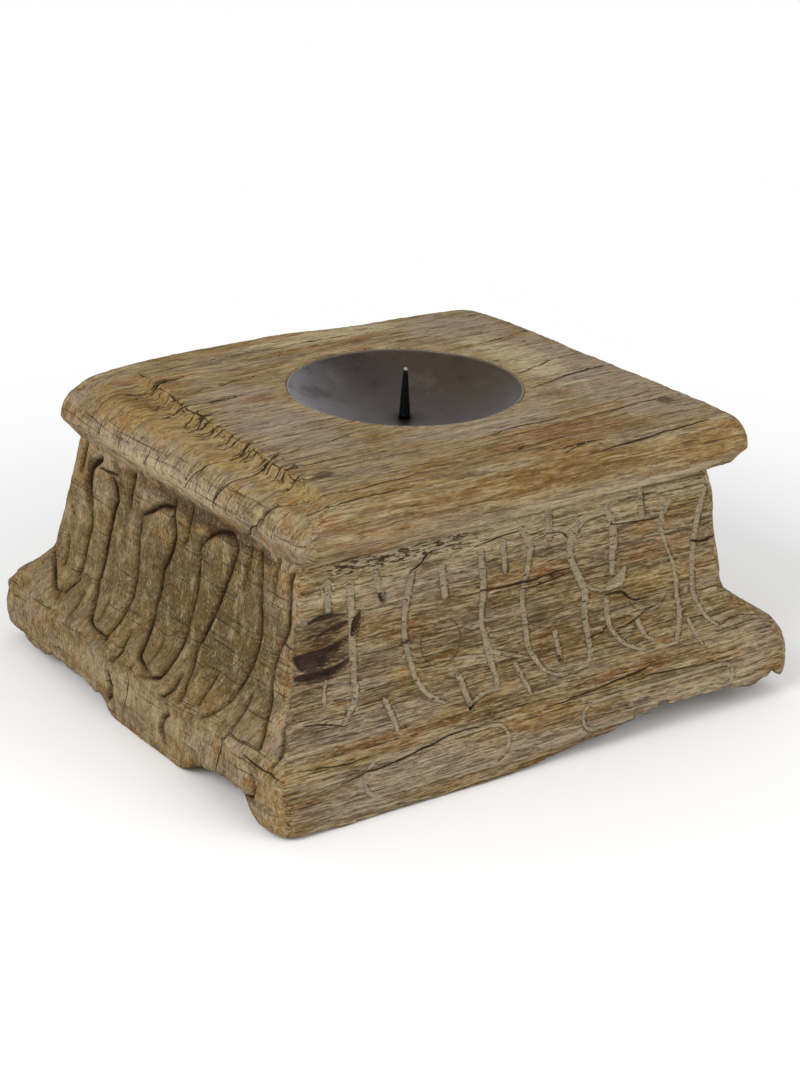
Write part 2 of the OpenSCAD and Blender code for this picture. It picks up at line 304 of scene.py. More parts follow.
# The petals on the end of the block are cut deeper, and their cuts are painted dark: partly gone dark, partly
# painted shade
LEFT_CUTS = [
    [(84, 107, 3), (86, 99, 3.6), (86.5, 93, 2.8)],
    [(69, 104, 3), (75.5, 99.5, 4.4), (77.5, 94, 5), (76, 88, 4.6), (72, 79, 3.4), (70.5, 71, 3.4),
     (72, 65, 3.4), (73.5, 57, 3.4), (74, 47.5, 2.6)],
    [(71.5, 46, 2), (75, 40, 2.4)],
    [(79, 40.5, 1.6), (77, 37, 1.6)],
    [(57.5, 98, 3), (53, 94.5, 4.4), (51, 90, 4.2), (53, 84, 4.6), (54, 74, 4), (55, 65, 3.8),
     (55, 60, 3.2), (57, 53, 3), (57, 49, 3), (54, 44.5, 3), (50, 41, 2.8), (45, 37.5, 2.4),
     (39, 36, 1.8), (28, 35.5, 1.6)],
    [(63.5, 43, 1.6), (60.5, 37.5, 2.2), (61.5, 33, 1.8)],
    [(28, 91, 2.6), (28.5, 80, 3), (27, 70, 3), (26.5, 63, 3), (27.5, 54, 3), (28, 48, 2.6),
     (27, 42, 2.6), (26.5, 35, 2.8)],
    [(28, 91, 2.2), (22, 94.5, 3), (14, 99.5, 3), (4, 101.5, 3)],
    [(38, 106, 3), (39.5, 98, 3.8), (39, 91, 2.8)],
    [(3.5, 106, 2.6), (4, 98, 3.8), (1.5, 93, 3.8), (0.5, 88, 3.6), (3, 79, 3.6), (6, 72, 3.4),
     (5.5, 63, 3), (7.5, 54, 3), (7, 49, 3), (4, 43, 3.2), (0, 37.5, 3.2), (-7, 35.5, 2),
     (-16, 34.5, 1.2)],
    [(43, 47, 1.2), (40, 38, 1.2)],
    [(15.5, 42, 1.4), (12.5, 36.5, 2), (12.5, 32, 2), (17, 28, 1.4)],
    [(89, 60, 2.4), (89, 54, 2.4), (88, 47.5, 2.2)],
    [(90, 75, 0.8), (86.5, 71.5, 1)],
    [(101, 51, 2), (92, 44, 2.4), (84, 39.5, 2), (79, 39, 1.4)],
    [(-11.5, 107, 2.4), (-10, 97, 2.6), (-9.5, 91.5, 2.4), (-8, 90, 1.4)],
    [(-21, 93, 2.4), (-22.5, 84, 3), (-23, 76, 3), (-22.5, 67, 2.6), (-21, 57, 2.6), (-20.5, 48, 2.6),
     (-21.5, 40, 2.8), (-22, 36, 2.8), (-17, 33.5, 1.6), (-11, 32, 1)],
    [(-21, 93, 2.4), (-27, 99.5, 3), (-36, 104, 3), (-45, 105.5, 3), (-49.5, 101, 3)],
    [(-49.5, 101, 3), (-46.5, 91, 3), (-42.5, 79, 3), (-38, 66.5, 3), (-34, 57.5, 2.8), (-31, 50, 2.4),
     (-34, 44.5, 2.2), (-38.5, 39.5, 2), (-42.5, 36.5, 2), (-43, 33, 1.8)],
    [(-60, 105, 1.8), (-59, 97, 2), (-58, 90, 1.6), (-57.5, 85, 1)],
    [(-66.5, 105, 3.2), (-69.5, 95, 2.6), (-71, 87, 2.6), (-73, 79, 2.8), (-74.5, 71, 2.6),
     (-73, 62, 2.4), (-70.5, 54, 2.4), (-69, 48, 2.6), (-68.5, 41, 2.4), (-65, 35.5, 2), (-59, 32, 1.2)],
    [(-81.5, 107, 2), (-80, 102, 2), (-80, 93, 1.6)],
    [(-94, 108, 1.6), (-90.5, 102, 2.4), (-92, 91, 2.4), (-93.5, 81, 2.4), (-90, 73, 2.2),
     (-87.5, 63, 2.2), (-88, 54, 2.2), (-92, 48, 2), (-96.5, 42.5, 2), (-100.5, 39, 2), (-103.5, 36, 1.8)],
    [(-7.5, 45, 1.6), (-10.5, 36, 1.6)],
    [(-31.5, 40, 1.8), (-33.5, 36, 2.4), (-32, 31, 2.2), (-29, 30, 1.4)],
    [(-51.5, 46, 1.8), (-54, 36, 1.8)],
    [(-78, 48, 1), (-79.5, 44, 1.8), (-82, 37, 2), (-80.5, 31, 1.6)],
    [(-108, 44, 1.6), (-117, 38, 1.8), (-116, 33, 1.4)],
    [(19, 22, 2.4), (16.5, 17, 3.2), (17, 12, 3), (21, 8, 2)],
    [(-36, 24.5, 2), (-31, 20, 2.6), (-29.5, 14, 2.6), (-30, 8, 2)],
    [(-104, 25, 1.6), (-106.5, 19.5, 2.2), (-105, 14.5, 2.6), (-100, 13, 2)],
]
# Hollows rotted out beside the front left corner
FRONT_HOLLOWS = [
    [(-118, 69, 3), (-112, 66.5, 9), (-106, 66.5, 8.5), (-101, 68.5, 5), (-95, 70.5, 3), (-90, 72, 1.6)],
    [(-118, 60.5, 2), (-112, 59.5, 4), (-104, 58.8, 4), (-96, 60.5, 3), (-90, 63, 1.6)],
    [(-110, 83, 1.2), (-101, 84, 2), (-90, 82.5, 1.4)],
    [(-106, 77, 0.8), (-98, 77.5, 1.6), (-90, 79.5, 1.4)],
    [(-82.5, 82, 1.6), (-84, 78, 3.4), (-86, 73, 2)],
    [(-71.4, 87, 1.4), (-70.8, 85.2, 2)], [(-38.8, 38.5, 1.4), (-40.8, 36.8, 2)],
    [(-58.8, 64.5, 1), (-61.5, 63.5, 1.6)], [(15.5, 44, 1.4), (14.6, 42.4, 1.8)],
]
# Rings scribed on the petals: side, place along it, height, radius, and the arc's ends in degrees
SCRIBED_RINGS = [
    (LEFT, -52.5, 61.5, 11.5, 0, 360), (LEFT, -5.5, 58, 11, 20, 330), (LEFT, 37, 66, 11, 60, 130),
    (FRONT, -43, 60.5, 10.5, 130, 420), (FRONT, 72, 61, 12, 200, 330),
    (RIGHT, 40, 60, 11.5, 0, 360), (RIGHT, -8, 60, 11, 20, 330),
    (BACK, 40, 60.5, 10.5, 130, 420), (BACK, -60, 61, 12, 10, 350),
]
# Long loops with round ends cut in the foot: side, low and high end, and lower and upper edge
FOOT_PANELS = [(FRONT, -98, -23, 10, 28), (FRONT, 18, 105, 11, 25), (BACK, -96, -20, 10, 27),
               (BACK, 20, 100, 9, 26)]
# Drying cracks as (place, way or height, width), on the side faces and over the slab's edges
SIDE_CRACKS = [
    (FRONT, [(-56, 93.5, 0.8), (-51, 97, 1.1), (-46, 100.5, 1), (-40, 101, 0.5)]),
    (FRONT, [(-118, 43.5, 0.8), (-110, 42.5, 1), (-101, 41.5, 0.8)]),
    (FRONT, [(-22, 98, 0.5), (-10, 99.5, 0.9), (1, 100.5, 0.8)]),
    (FRONT, [(13, 95, 0.4), (24, 95.5, 0.8), (28, 92, 0.8)]),
    (FRONT, [(48, 61.5, 0.9), (57, 61, 1.8), (61, 57.5, 1.4), (65, 55.5, 1), (70, 55, 0.5)]),
    (FRONT, [(35, 46.5, 0.5), (47, 48.5, 0.9)]),
    (FRONT, [(50, 46.5, 0.5), (62, 48.5, 0.9), (74, 51, 0.5)]),
    (FRONT, [(99, 76, 1), (105, 75, 2), (112, 75.5, 1.8)]),
    (FRONT, [(-20, 78, 0.8), (0, 77, 1.3), (28, 78, 0.7)]),
    (FRONT, [(0, 74, 0.4), (14, 74.5, 0.9), (30, 76, 0.6)]),
    (FRONT, [(54, 92.5, 0.8), (66, 91.5, 0.9), (80, 91, 0.4)]),
    (FRONT, [(-110, 21, 0.8), (-88, 24, 1.3), (-65, 27, 1.2), (-48, 29, 1), (-38, 28.5, 0.5)]),
    (FRONT, [(-130, 31.5, 0.5), (-112, 30, 0.9), (-95, 29.5, 0.5)]),
    (FRONT, [(0, 29, 0.5), (25, 30.5, 1), (50, 33, 1.4), (58, 35, 0.5)]),
    (FRONT, [(45, 29.5, 0.5), (62, 29, 1), (82, 28, 0.7)]),
    (FRONT, [(105, 40, 0.5), (118, 41, 0.9), (130, 40, 0.6)]),
    (FRONT, [(-40.5, 37, 1.6), (-36, 38, 0.8)]),
    (LEFT, [(-92, 74, 0.8), (-97, 74, 1.4), (-103, 75, 1.6), (-107, 78, 1.2)]),
    (LEFT, [(-79, 30, 0.9), (-77, 22, 0.9), (-75, 12, 0.6)]),
    (LEFT, [(1, 33, 0.8), (2, 22, 0.7), (5, 10, 0.5)]),
    (LEFT, [(-98, 31, 0.5), (-112, 30.5, 1.1), (-126, 30.5, 0.8)]),
    (LEFT, [(68, 100, 1), (60, 100.5, 2.2), (53, 101.5, 1)]),
    (RIGHT, [(-92, 76, 2), (-84, 75, 1.4), (-74, 76, 0.6)]),
    (RIGHT, [(-50, 30, 0.6), (10, 31, 1.2), (60, 29, 0.6)]),
    (BACK, [(-80, 88, 0.5), (-30, 90, 1.2), (20, 89, 0.9), (60, 91, 0.5)]),
    (BACK, [(-20, 30, 0.6), (30, 31, 1.3), (90, 29, 0.7)]),
]
EDGE_CRACKS = [
    (LEFT, [(-22, -60, 0.5), (-22, -30, 1), (-22, -6, 1.2), (-24, 0, 1.6), (-25, 6, 1.6), (-24.5, 12, 1.2),
            (-22, 20, 1), (-18, 28, 0.9), (-15, 34, 0.5)]),
    (LEFT, [(-36, -45, 0.7), (-39, -25, 1.1), (-41, -8, 1.3), (-43.5, 0, 1.7), (-45, 7, 1.8), (-45, 14, 1.3),
            (-43, 22, 1.1), (-40, 30, 0.9), (-37, 36, 0.5)]),
    (LEFT, [(-56, -40, 0.6), (-56.5, -15, 1), (-56.5, -5, 1.1), (-58, 1, 1.2), (-61, 5, 0.8)]),
    (LEFT, [(-83, 8, 1.4), (-81, 14, 1.4), (-78, 19, 1.1), (-76, 25, 0.9), (-75, 30, 0.5)]),
    (LEFT, [(-100, 8, 0.7), (-97, 16, 1)]),
    (LEFT, [(-73, 31, 0.6), (-67, 35, 1.1), (-59, 43, 0.8)]),
    (LEFT, [(17, -40, 0.5), (17, -12, 0.9), (18, -5, 1.1), (16, 0, 1.3), (14, 5, 1.1), (13, 9, 0.6)]),
    (LEFT, [(3, -36, 0.4), (3, -15, 0.7), (5, -5, 0.8), (6, 1, 0.9), (4, 6, 0.6)]),
    (LEFT, [(70, -24, 1), (68.5, -14, 2.4), (67, -8, 1.5), (68, 0, 1.2), (69.5, 5, 1.8), (70, 12, 1.8),
            (71, 18, 0.8)]),
    (LEFT, [(36, -30, 0.4), (34, -14, 0.8), (36, -3, 0.8), (40, 3, 0.6)]),
    (LEFT, [(52, -3, 0.5), (48, 2, 1), (44, 8, 0.7)]),
    (LEFT, [(35, -50, 0.4), (34, -30, 0.9), (32, -16, 0.5)]),
    (LEFT, [(56, -60, 0.4), (53, -38, 1), (48, -18, 0.6)]),
    (LEFT, [(-66, -55, 0.5), (-66, -25, 0.9), (-68, -8, 0.8)]),
    (FRONT, [(21, 3.2, 0.8), (32, 1.2, 1), (40, 0.8, 0.6)]),
    (FRONT, [(34, 7.3, 0.6), (57, 5.7, 1), (80, 4.5, 1.1), (102, 3.2, 0.8)]),
    (FRONT, [(-116, 4.8, 0.5), (-90, 3.5, 0.9), (-59, 3.2, 0.5)]),
    (FRONT, [(-110, -9, 0.7), (-86, -5, 1), (-51, -7, 0.9), (-40, -8, 0.4)]),
    (FRONT, [(5, -8, 2), (9, -10, 1.8), (22, -10.5, 1.2), (38, -11, 0.5)]),
    (FRONT, [(-9, -28, 0.5), (8, -30, 1), (20, -31, 1.2), (43, -31, 0.7)]),
    (FRONT, [(14, 0, 0.8), (30, -0.5, 1.3), (45, 0, 0.7)]),
    (FRONT, [(-11, -23, 0.4), (30, -24, 0.8), (70, -27, 1), (104, -29, 0.8)]),
    (FRONT, [(60, -70, 0.5), (80, -76, 1), (98, -79, 1.1), (108, -80, 0.6)]),
    (RIGHT, [(-6, -40, 0.5), (-2, -26, 1.2), (2, -16, 1.4), (4, -2, 0.9), (5, 12, 0.6)]),
    (RIGHT, [(-25, -46, 0.5), (-20, -22, 1), (-17, 0, 1.1), (-16, 14, 0.6)]),
    (RIGHT, [(40, -30, 0.4), (43, -10, 1), (45, 8, 0.8), (44, 20, 0.5)]),
    (RIGHT, [(-60, -26, 0.4), (-58, -8, 1), (-57, 6, 0.9), (-59, 16, 0.5)]),
    (BACK, [(-80, -12, 0.5), (-20, -9, 1), (40, -11, 0.8), (80, -10, 0.4)]),
    (BACK, [(-21, -16, 0.8), (-3, -17, 1.4), (8, -16, 0.6)]),
]
# Where the flat top breaks off to the left's long roll: places across and along the grain
LEDGE = [(-126, -97), (-90, -97), (-60, -95.5), (-40, -94), (-20, -92), (0, -90), (20, -90), (40, -89),
         (60, -87), (80, -84), (126, -80)]
# Height of the foot's worn lower edge above the floor, at places along each side
WORN_FOOT = {
    LEFT: [(-126, 3), (-116, 1), (-108, 0), (-105, 3), (-103, 7), (-101, 11), (-98, 14), (-74, 14.5),
           (-67, 12), (-60, 11), (-54, 6), (-47, 2), (-40, 0), (12, 0), (18, 1), (22, 4), (27, 8),
           (34, 7), (42, 11), (60, 9), (78, 7.5), (84, 5.5), (90, 6), (98, 3.5), (108, 3), (126, 3.5)],
    FRONT: [(-142, 3), (-128, 1), (-118, 0), (-50, 0), (-20, 1), (0, 3), (20, 6), (40, 9), (55, 13), (70, 14),
            (90, 12), (110, 11), (128, 9), (142, 12)],
    RIGHT: [(-126, 12), (-100, 8), (-60, 4), (-20, 2), (20, 0), (90, 0), (126, 3)],
    BACK: [(-142, 9), (-110, 5), (-60, 2), (-20, 0), (60, 0), (100, 3), (142, 3)],
}
# Tones that lie over the bare timber: strength, colour, and each patch's middle and half lengths
TONES = {
    "ochre": (0.62, "#a88748", [
        ((-134, 0, 124), (16, 116, 11)), ((-106, 10, 132), (8, 95, 9)), ((60, -98, 62), (44, 9, 8)),
        ((110, 20, 75), (12, 60, 34)), ((-113, 10, 46), (12, 80, 5)), ((-113, -8, 100), (9, 30, 4))]),
    "grey": (0.70, "#9b8979", [
        ((84, 68, 136), (30, 28, 9)), ((92, -20, 136), (26, 70, 9)), ((-66, 0, 136), (24, 60, 6)),
        ((10, -56, 136), (50, 12, 8)), ((-80, -118, 40), (50, 14, 4)), ((-60, -125, 17), (48, 10, 11)),
        ((80, -125, 14), (60, 12, 10)), ((0, -126, 12), (90, 10, 6)), ((-50, -95, 88), (36, 9, 8)),
        ((98, -70, 136), (22, 30, 9)), ((-88, -96, 50), (26, 12, 6)), ((30, -106, 114), (90, 14, 6)),
        ((-117, 10, 122), (8, 80, 5)), ((-90, -126, 12), (40, 12, 8))]),
    "olive": (0.50, "#665330", [
        ((-124, 0, 52), (34, 126, 60))]),
    # Partly painted shade: these bands across the waist and cove under the slab stand for its shade as well
    # as dirt
    "dark": (0.62, "#5f4a2c", [
        ((0, -96, 73), (112, 9, 11)), ((0, -97, 58), (112, 10, 8)), ((10, -104, 46), (112, 12, 5)),
        ((0, -120, 34), (130, 12, 4)), ((-118, 44, 58), (26, 20, 26)), ((0, 100, 72), (112, 9, 30)),
        ((24, -97, 50), (22, 9, 6))]),
    # Partly painted shade: the left end's waist under the slab is darkened for its shade as well as dirt
    "umber": (0.60, "#4c3c1f", [
        ((-118, -34, 70), (26, 76, 40)), ((-113, 44, 92), (14, 20, 14))]),
    "gold": (0.75, "#765727", [
        ((-10, -105, 128), (114, 12, 6)), ((20, -86, 136), (80, 7, 8)), ((-101, 60, 134), (9, 18, 8)),
        ((110, 60, 128), (12, 30, 8))]),
    "rust": (0.65, "#83542b", [
        ((-104, -108, 130), (9, 9, 4)), ((45, -120, 34), (40, 14, 3)), ((-85, -120, 34), (50, 14, 3)),
        ((30, -80, 136), (40, 9, 8)), ((-58, 24, 136), (9, 7, 8)), ((75, -96, 77), (24, 9, 5)),
        ((8, -98, 79), (32, 9, 4)), ((30, 76, 136), (9, 5, 6)), ((-35, -98, 52), (12, 9, 3)),
        ((-113, 58, 58), (9, 7, 5)), ((-113, -22, 43), (9, 12, 6)), ((-113, 64, 42), (12, 16, 5)),
        ((-60, -98, 70), (20, 9, 4))]),
    # Soil, and painted shade: the band under the left end's lip stands for the shade under the slab
    "soil_and_shade": (0.50, "#5e4022", [
        ((-113, -20, 106), (12, 70, 6)), ((-101, -98, 78), (13, 9, 8)), ((-101, -98, 64), (13, 9, 7)),
        ((-84, 68, 136), (8, 4, 6)), ((-86, -72, 136), (6, 3.5, 6)), ((100, -72, 136), (6, 5, 6)),
        ((-124, 70, 38), (10, 10, 5)), ((-113, 78, 90), (9, 5, 14))]),
    # Pale timber, and a painted highlight: the band low on the left lip stands for light on its lower edge
    "pale_and_highlight": (0.72, "#c2b08c", [
        ((-118, 2, 117), (12, 74, 6)), ((20, -95, 101), (112, 9, 10)), ((-140, 0, 22), (12, 60, 8)),
        ((90, -126, 12), (40, 12, 10)), ((30, -106, 115), (90, 12, 3)), ((-28, -99, 49), (20, 9, 4)),
        ((-96, -96, 93), (18, 9, 5)), ((80, 10, 136), (14, 46, 8)), ((20, 88, 136), (50, 9, 8))]),
}
# Knocks, sags and swellings: axis moved along, how far, middle, and reach on each axis
KNOCKS = [
    # The back left corner of the slab sags and is rubbed in
    (2, -4.2, (block_low[0] + 28, 102, 130), (26, 26, 16)),
    (2, -2.0, (block_low[0] + 7, 92, 132), (16, 34, 12)),
    (0, 2.2, (block_low[0] + 7, 100, 122), (12, 32, 14)),
    # Its back right corner sags too; the front right one's underside rises, and droops at the tip
    (2, -2.6, (108, 98, 136), (46, 30, 12)),
    (2, 1.8, (120, -100, 112), (26, 30, 12)),
    (2, -3.5, (139, -114, 106), (9, 26, 6)),
    # The waist stands proud under the slab at the right end, and is thinner at the left end's back
    (0, 3.0, (113, -90, 95), (14, 30, 12)),
    (0, 1.2, (-113, 92, 90), (14, 16, 30)),
    # The cove is shallow at the back of the left face and deep at the right, above a full foot
    (0, -2.6, (block_low[0] + 8, 118, 45), (18, 26, 14)),
    (0, -1.5, (block_high[0] - 14, -100, 50), (14, 40, 8)),
    (0, 1.5, (block_high[0], -100, 18), (12, 60, 14)),
]
# How deep each kind of carving goes, and how far the flat top drops at the ledge
PALE_DEPTH, DARK_DEPTH, HOLLOW_DEPTH, RING_DEPTH = 1.2, 3.0, 2.6, 0.8
LEDGE_DROP = 3.8
# What a field reads far from any cut, and far from any crack
NO_CUT, NO_CRACK, NO_GAP = -6.0, 4.0, -1.0
MAX_TRIANGLES = 196000
# What the timber's material reads at each point of the mesh
FIELDS = ("pale_cut", "dark_cut", "scribed", "hollow", "crack_side", "crack_gap", "torn", "end_grain",
          "relief", "rim", "contrast") + tuple(TONES)


def nearest_on_line(points, line, reach):
    """For points within reach of a line of (x, y, z, width): who, how far, width and offset."""
    low = line[:, :3].min(0) - reach
    high = line[:, :3].max(0) + reach
    close = np.flatnonzero(np.all((points > low) & (points < high), axis=1))
    best = np.full(len(close), 1e9)
    offset = np.zeros((len(close), 3))
    width = np.zeros(len(close))
    for start, end in zip(line[:-1], line[1:]):
        way = end[:3] - start[:3]
        t = np.clip((points[close] - start[:3]) @ way / max(way @ way, 1e-9), 0, 1)
        gap = points[close] - (start[:3] + t[:, None] * way)
        distance = np.linalg.norm(gap, axis=1)
        nearer = distance < best
        best[nearer] = distance[nearer]
        offset[nearer] = np.cross(way, gap)[nearer]
        width[nearer] = (start[3] + t * (end[3] - start[3]))[nearer]
    kept = best < reach
    return close[kept], best[kept], width[kept], offset[kept]


def cut_lines(side, cuts, mirror_seed=None):
    """Cuts laid on one side of the block; a mirrored set is drawn afresh, a little differently."""
    hand = np.random.RandomState(mirror_seed)
    lines = []
    for cut in cuts:
        line = smooth_line(cut)
        along = line[:, 0]
        if mirror_seed is not None:
            along = -along + hand.uniform(-1.5, 1.5)
        lines.append(np.column_stack([on_side(side, along, line[:, 1]), line[:, 2]]))
    return lines


def scribed_lines():
    """Thin rings on the petals, and the pale outlines of the panels on the foot."""
    lines, panels = [], []
    for side, along, height, radius, start, end in SCRIBED_RINGS:
        angle = np.radians(np.arange(start, end + 1, 8))
        place = on_side(side, along + radius * np.cos(angle), height + radius * np.sin(angle))
        lines.append(np.column_stack([place, 0.9 + 0 * angle]))
    for side, low, high, under, over in FOOT_PANELS:
        half = (over - under) / 2
        angle = np.radians(np.arange(-90, 271, 12))
        end = np.where(np.cos(angle) > 0, high - half, low + half)
        place = on_side(side, end + half * np.cos(angle), under + half + half * np.sin(angle))
        loop = np.column_stack([place, 2.2 + 0 * angle])
        panels.append(np.vstack([loop, loop[:1]]))
    return lines, panels


def carve(points, lines, depth, inside, sharpness, shoulder=0.0):
    """Depth of a set of cuts at each point; inside gets the distance in from the cut's edge.

    A higher sharpness gives a flatter floor, and the shoulder is a shallow dip beside the cut.
    """
    sunk = np.zeros(len(points))
    for line in lines:
        who, distance, width, _ = nearest_on_line(points, line, 7.0)
        half = np.maximum(width / 2, 0.4)
        inside[who] = np.maximum(inside[who], half - distance)
        profile = depth * np.clip(1 - (distance / (half + 0.3)) ** sharpness, 0, 1)
        profile += shoulder * fade(distance, 6.8, 0.5)
        # A wide cut goes deeper than a narrow one
        sunk[who] = np.maximum(sunk[who], np.minimum(half / 1.6, 1.2) * profile)
    return sunk


def ledge_place(across):
    """Where the flat top breaks off, a little ragged."""
    places, ledge = np.array(LEDGE).T
    flat = np.stack([0 * across, across, 0 * across], -1)
    return np.interp(across, places, ledge) + 1.2 * value_noise(flat, (9, 7, 9), 31, 3)


def hairlines():
    """Fine cracks down the long rolled edges, and coarser ones across the ledge."""
    hand = np.random.RandomState(17)
    lines = []
    for side in (LEFT, RIGHT):
        for along in np.arange(-84, 84, 8.5):
            start, end = hand.uniform(9, 18), hand.uniform(28, 40)
            lean = hand.uniform(1, 5)
            along += hand.uniform(-2, 2)
            lines.append((side, [(along, start, 0.1), (along + 0.3 * lean, (start + end) / 2, 0.4),
                                 (along + lean, end, 0.25)]))
    for along in np.arange(-72, 84, 6.5):
        lean = hand.uniform(-3, 3)
        lines.append((LEFT, [(along, hand.uniform(-9, -4), 0.5), (along + lean, 1, hand.uniform(0.5, 1.3)),
                             (along + 2 * lean, hand.uniform(5, 9), 0.4)]))
    return lines


def crack(points, normals, fields):
    """Drying cracks: a shallow valley in the mesh, and the fields that draw each thin gap."""
    sunk = np.zeros(len(points))
    nearest = np.full(len(points), NO_CRACK)
    tracks = []
    for lay, cracks in ((on_side, SIDE_CRACKS), (over_edge, EDGE_CRACKS + hairlines())):
        for side, cut in cracks:
            along, run, width = smooth_line(cut).T
            bend = 0.9 * value_noise(np.stack([along, run, 0 * run], -1), (7, 7, 7), 61, 2)
            # A crack follows the grain and wanders a little across it
            if lay is over_edge and side in (LEFT, RIGHT):
                along = along + bend
            else:
                run = run + bend
            tracks.append(np.column_stack([lay(side, along, run), width]))
    across = np.arange(-74, 92, 1.5)
    width = 0.3 + 1.1 * value_noise(np.stack([0 * across, across, 0 * across], -1), (9, 7, 9), 63, 2)
    tracks.append(np.column_stack([ledge_place(across) - 1, across, TOP_Z + 0 * across, width.clip(0)]))
    for track in tracks:
        who, distance, width, offset = nearest_on_line(points, track, 3.5)
        closer = distance < nearest[who]
        who, distance, width, offset = who[closer], distance[closer], width[closer], offset[closer]
        nearest[who] = distance
        sign = np.sign(np.einsum("ij,ij->i", offset, normals[who]))
        fields["crack_side"][who] = sign * distance
        fields["crack_gap"][who] = (0.36 * width - NO_GAP) * fade(distance, 2.6, 1.4) + NO_GAP
        sunk[who] = np.maximum(sunk[who], 0.55 * width * np.clip(1 - (distance / 1.1) ** 2, 0, 1))
    return sunk


def worn_foot(points, fields):
    """Lifts the underside and the foot's lower edge where they have crumbled away, and darkens that edge."""
    low_x, high_x = block_low[0], block_high[0]
    low_y, high_y = block_low[1], block_high[1]
    depth_in = {LEFT: points[:, 0] - low_x, RIGHT: high_x - points[:, 0],
                FRONT: points[:, 1] - low_y, BACK: high_y - points[:, 1]}
    lift = np.zeros(len(points))
    ragged = value_noise(points, (5, 5, 50), 71, 2)
    for side, steps in WORN_FOOT.items():
        along = points[:, 1] if side in (LEFT, RIGHT) else points[:, 0]
        places, heights = np.array(steps).T
        height = np.interp(along, places, heights)
        height = height * (1 + 0.25 * ragged) + 0.7 * np.abs(ragged)
        lift = np.maximum(lift, height * fade(depth_in[side], 45, 14))
    soil_and_shade = 0.45 * fade(lift - points[:, 2] + 2 * ragged, -3, 0) * (lift > 1)
    fields["soil_and_shade"] = np.maximum(fields["soil_and_shade"], soil_and_shade)
    lifted = np.where(points[:, 2] > lift, points[:, 2], lift - 0.03 * (lift - points[:, 2]))
    return np.where(points[:, 2] < 20, lifted, points[:, 2])


def bell(points, middle, reach):
    """1 at a point and fading away from it, with its own reach on each axis."""
    return np.exp(-np.sum(((points - middle) / reach) ** 2, axis=1))


def reshape_by_wear(points, base):
    """The block's broad irregularities: crisp or sunken edges, a skewed face and knocked corners."""
    low_x, low_y, _ = block_low
    x, y, z = base.T
    crown = np.clip((z - NOSE_Z) / CROWN_H, 0, 1)
    # The roll is fuller than a quarter round along the back's left half and at the right end
    full = crown * (1 - crown ** 2) ** 0.5
    inside_back = WAIST[3] + SLAB_REACH[BACK] - ROLL_WIDTH[BACK]
    points[:, 2] += 6.5 * full * fade(y, inside_back, inside_back + 5) * fade(x, 60, -10)
    inside_right = WAIST[1] + SLAB_REACH[RIGHT] - ROLL_WIDTH[RIGHT]
    end = full * fade(x, inside_right, inside_right + 12) * fade(y, 30, -60)
    points[:, 2] += 3.0 * end
    points[:, 0] += 2.0 * end
    # The slab's right end stands back behind its front corner, and the left face is a little skewed
    points[:, 0] -= 1.8 * fade(x, 120, 138) * fade(z, 104, 112) * fade(y, -114, -92)
    points[:, 0] += 1.6 * fade(x, -90, -110) * fade(z, 30, 70) * (-y / 95)
    for axis, amount, middle, reach in KNOCKS:
        points[:, axis] += amount * bell(base, middle, reach)
    # The lower arris of the foot is left sharp along the front's left half and the middle of the end
    low = np.clip(1 - z / 9, 0, 1) ** 2 * fade(z, -0.5, 0.2)
    points[:, 1] -= 3.6 * low * fade(y, low_y + 12, low_y + 6) * fade(x, 30, -10)
    points[:, 0] -= 3.6 * low * fade(x, low_x + 12, low_x + 6) * fade(abs(y + 12), 52, 30)


def tone_fields(points, fields):
    """Soft patches where the timber is rusty, grey, ochre or dark, some of them painted shade and a painted
    highlight.
    """
    ragged = value_noise(points, (16, 5, 5), 81, 3)
    for kind, (_, _, patches) in TONES.items():
        for middle, size in patches:
            away = np.linalg.norm((points - middle) / size, axis=1)
            fields[kind] = np.maximum(fields[kind], fade(away - 0.55 * ragged, 1.25, 0.45))


def plain_fields(base, normals):
    """Every field as it reads on the uncarved block."""
    fields = {name: np.full(len(base), NO_CUT) for name in ("pale_cut", "dark_cut", "scribed", "hollow")}
    fields.update({name: np.zeros(len(base)) for name in TONES})
    fields["crack_side"] = np.full(len(base), NO_CRACK)
    fields["crack_gap"] = np.full(len(base), NO_GAP)
    end = fade(abs(normals[:, 0]), 0.45, 0.8)
    fields["end_grain"] = end
    around = np.hypot(base[:, 0] - DISH_X, base[:, 1] - DISH_Y) - DISH_R
    fields["rim"] = fade(around, 11, 4) * (base[:, 2] > TOP_Z - 1)
    fields["contrast"] = 1.05 + 0.38 * fade(base[:, 2], 112, 102) * (1 - end) + 0.12 * end
    tone_fields(base, fields)
    return fields


def carve_sides(out, base, fields):
    """Sinks the carving of all four sides; the back and the right end repeat the other two."""
    rings, panels = scribed_lines()
    pale = cut_lines(FRONT, FRONT_CUTS) + cut_lines(BACK, FRONT_CUTS, 5) + panels
    dark = cut_lines(LEFT, LEFT_CUTS) + cut_lines(RIGHT, LEFT_CUTS, 8)
    hollow = cut_lines(FRONT, FRONT_HOLLOWS)
    out -= carve(base, pale, PALE_DEPTH, fields["pale_cut"], 2, 0.3)
    out -= carve(base, dark, DARK_DEPTH, fields["dark_cut"], 1.2, 0.4)
    out -= carve(base, hollow, HOLLOW_DEPTH, fields["hollow"], 3)
    out -= carve(base, rings, RING_DEPTH, fields["scribed"], 2)


def break_ledge(out, base, fields):
    """Steps the flat top down at a ledge on the left, into a shallow trough behind the roll."""
    x, y, z = base.T
    past = ledge_place(y) - x
    on_top = fade(z, 120, 128) * fade(y, -100, -80) * fade(y, 92, 70)
    band = fade(past, -1.5, 1) * fade(past, 13, 7) * on_top
    crumbs = value_noise(base, (4, 6, 4), 33, 3)
    out -= LEDGE_DROP * fade(past, -0.5, 5.5) * fade(past, 23, 9) * on_top + 0.9 * band * crumbs
    fields["ochre"] = np.maximum(fields["ochre"], band)


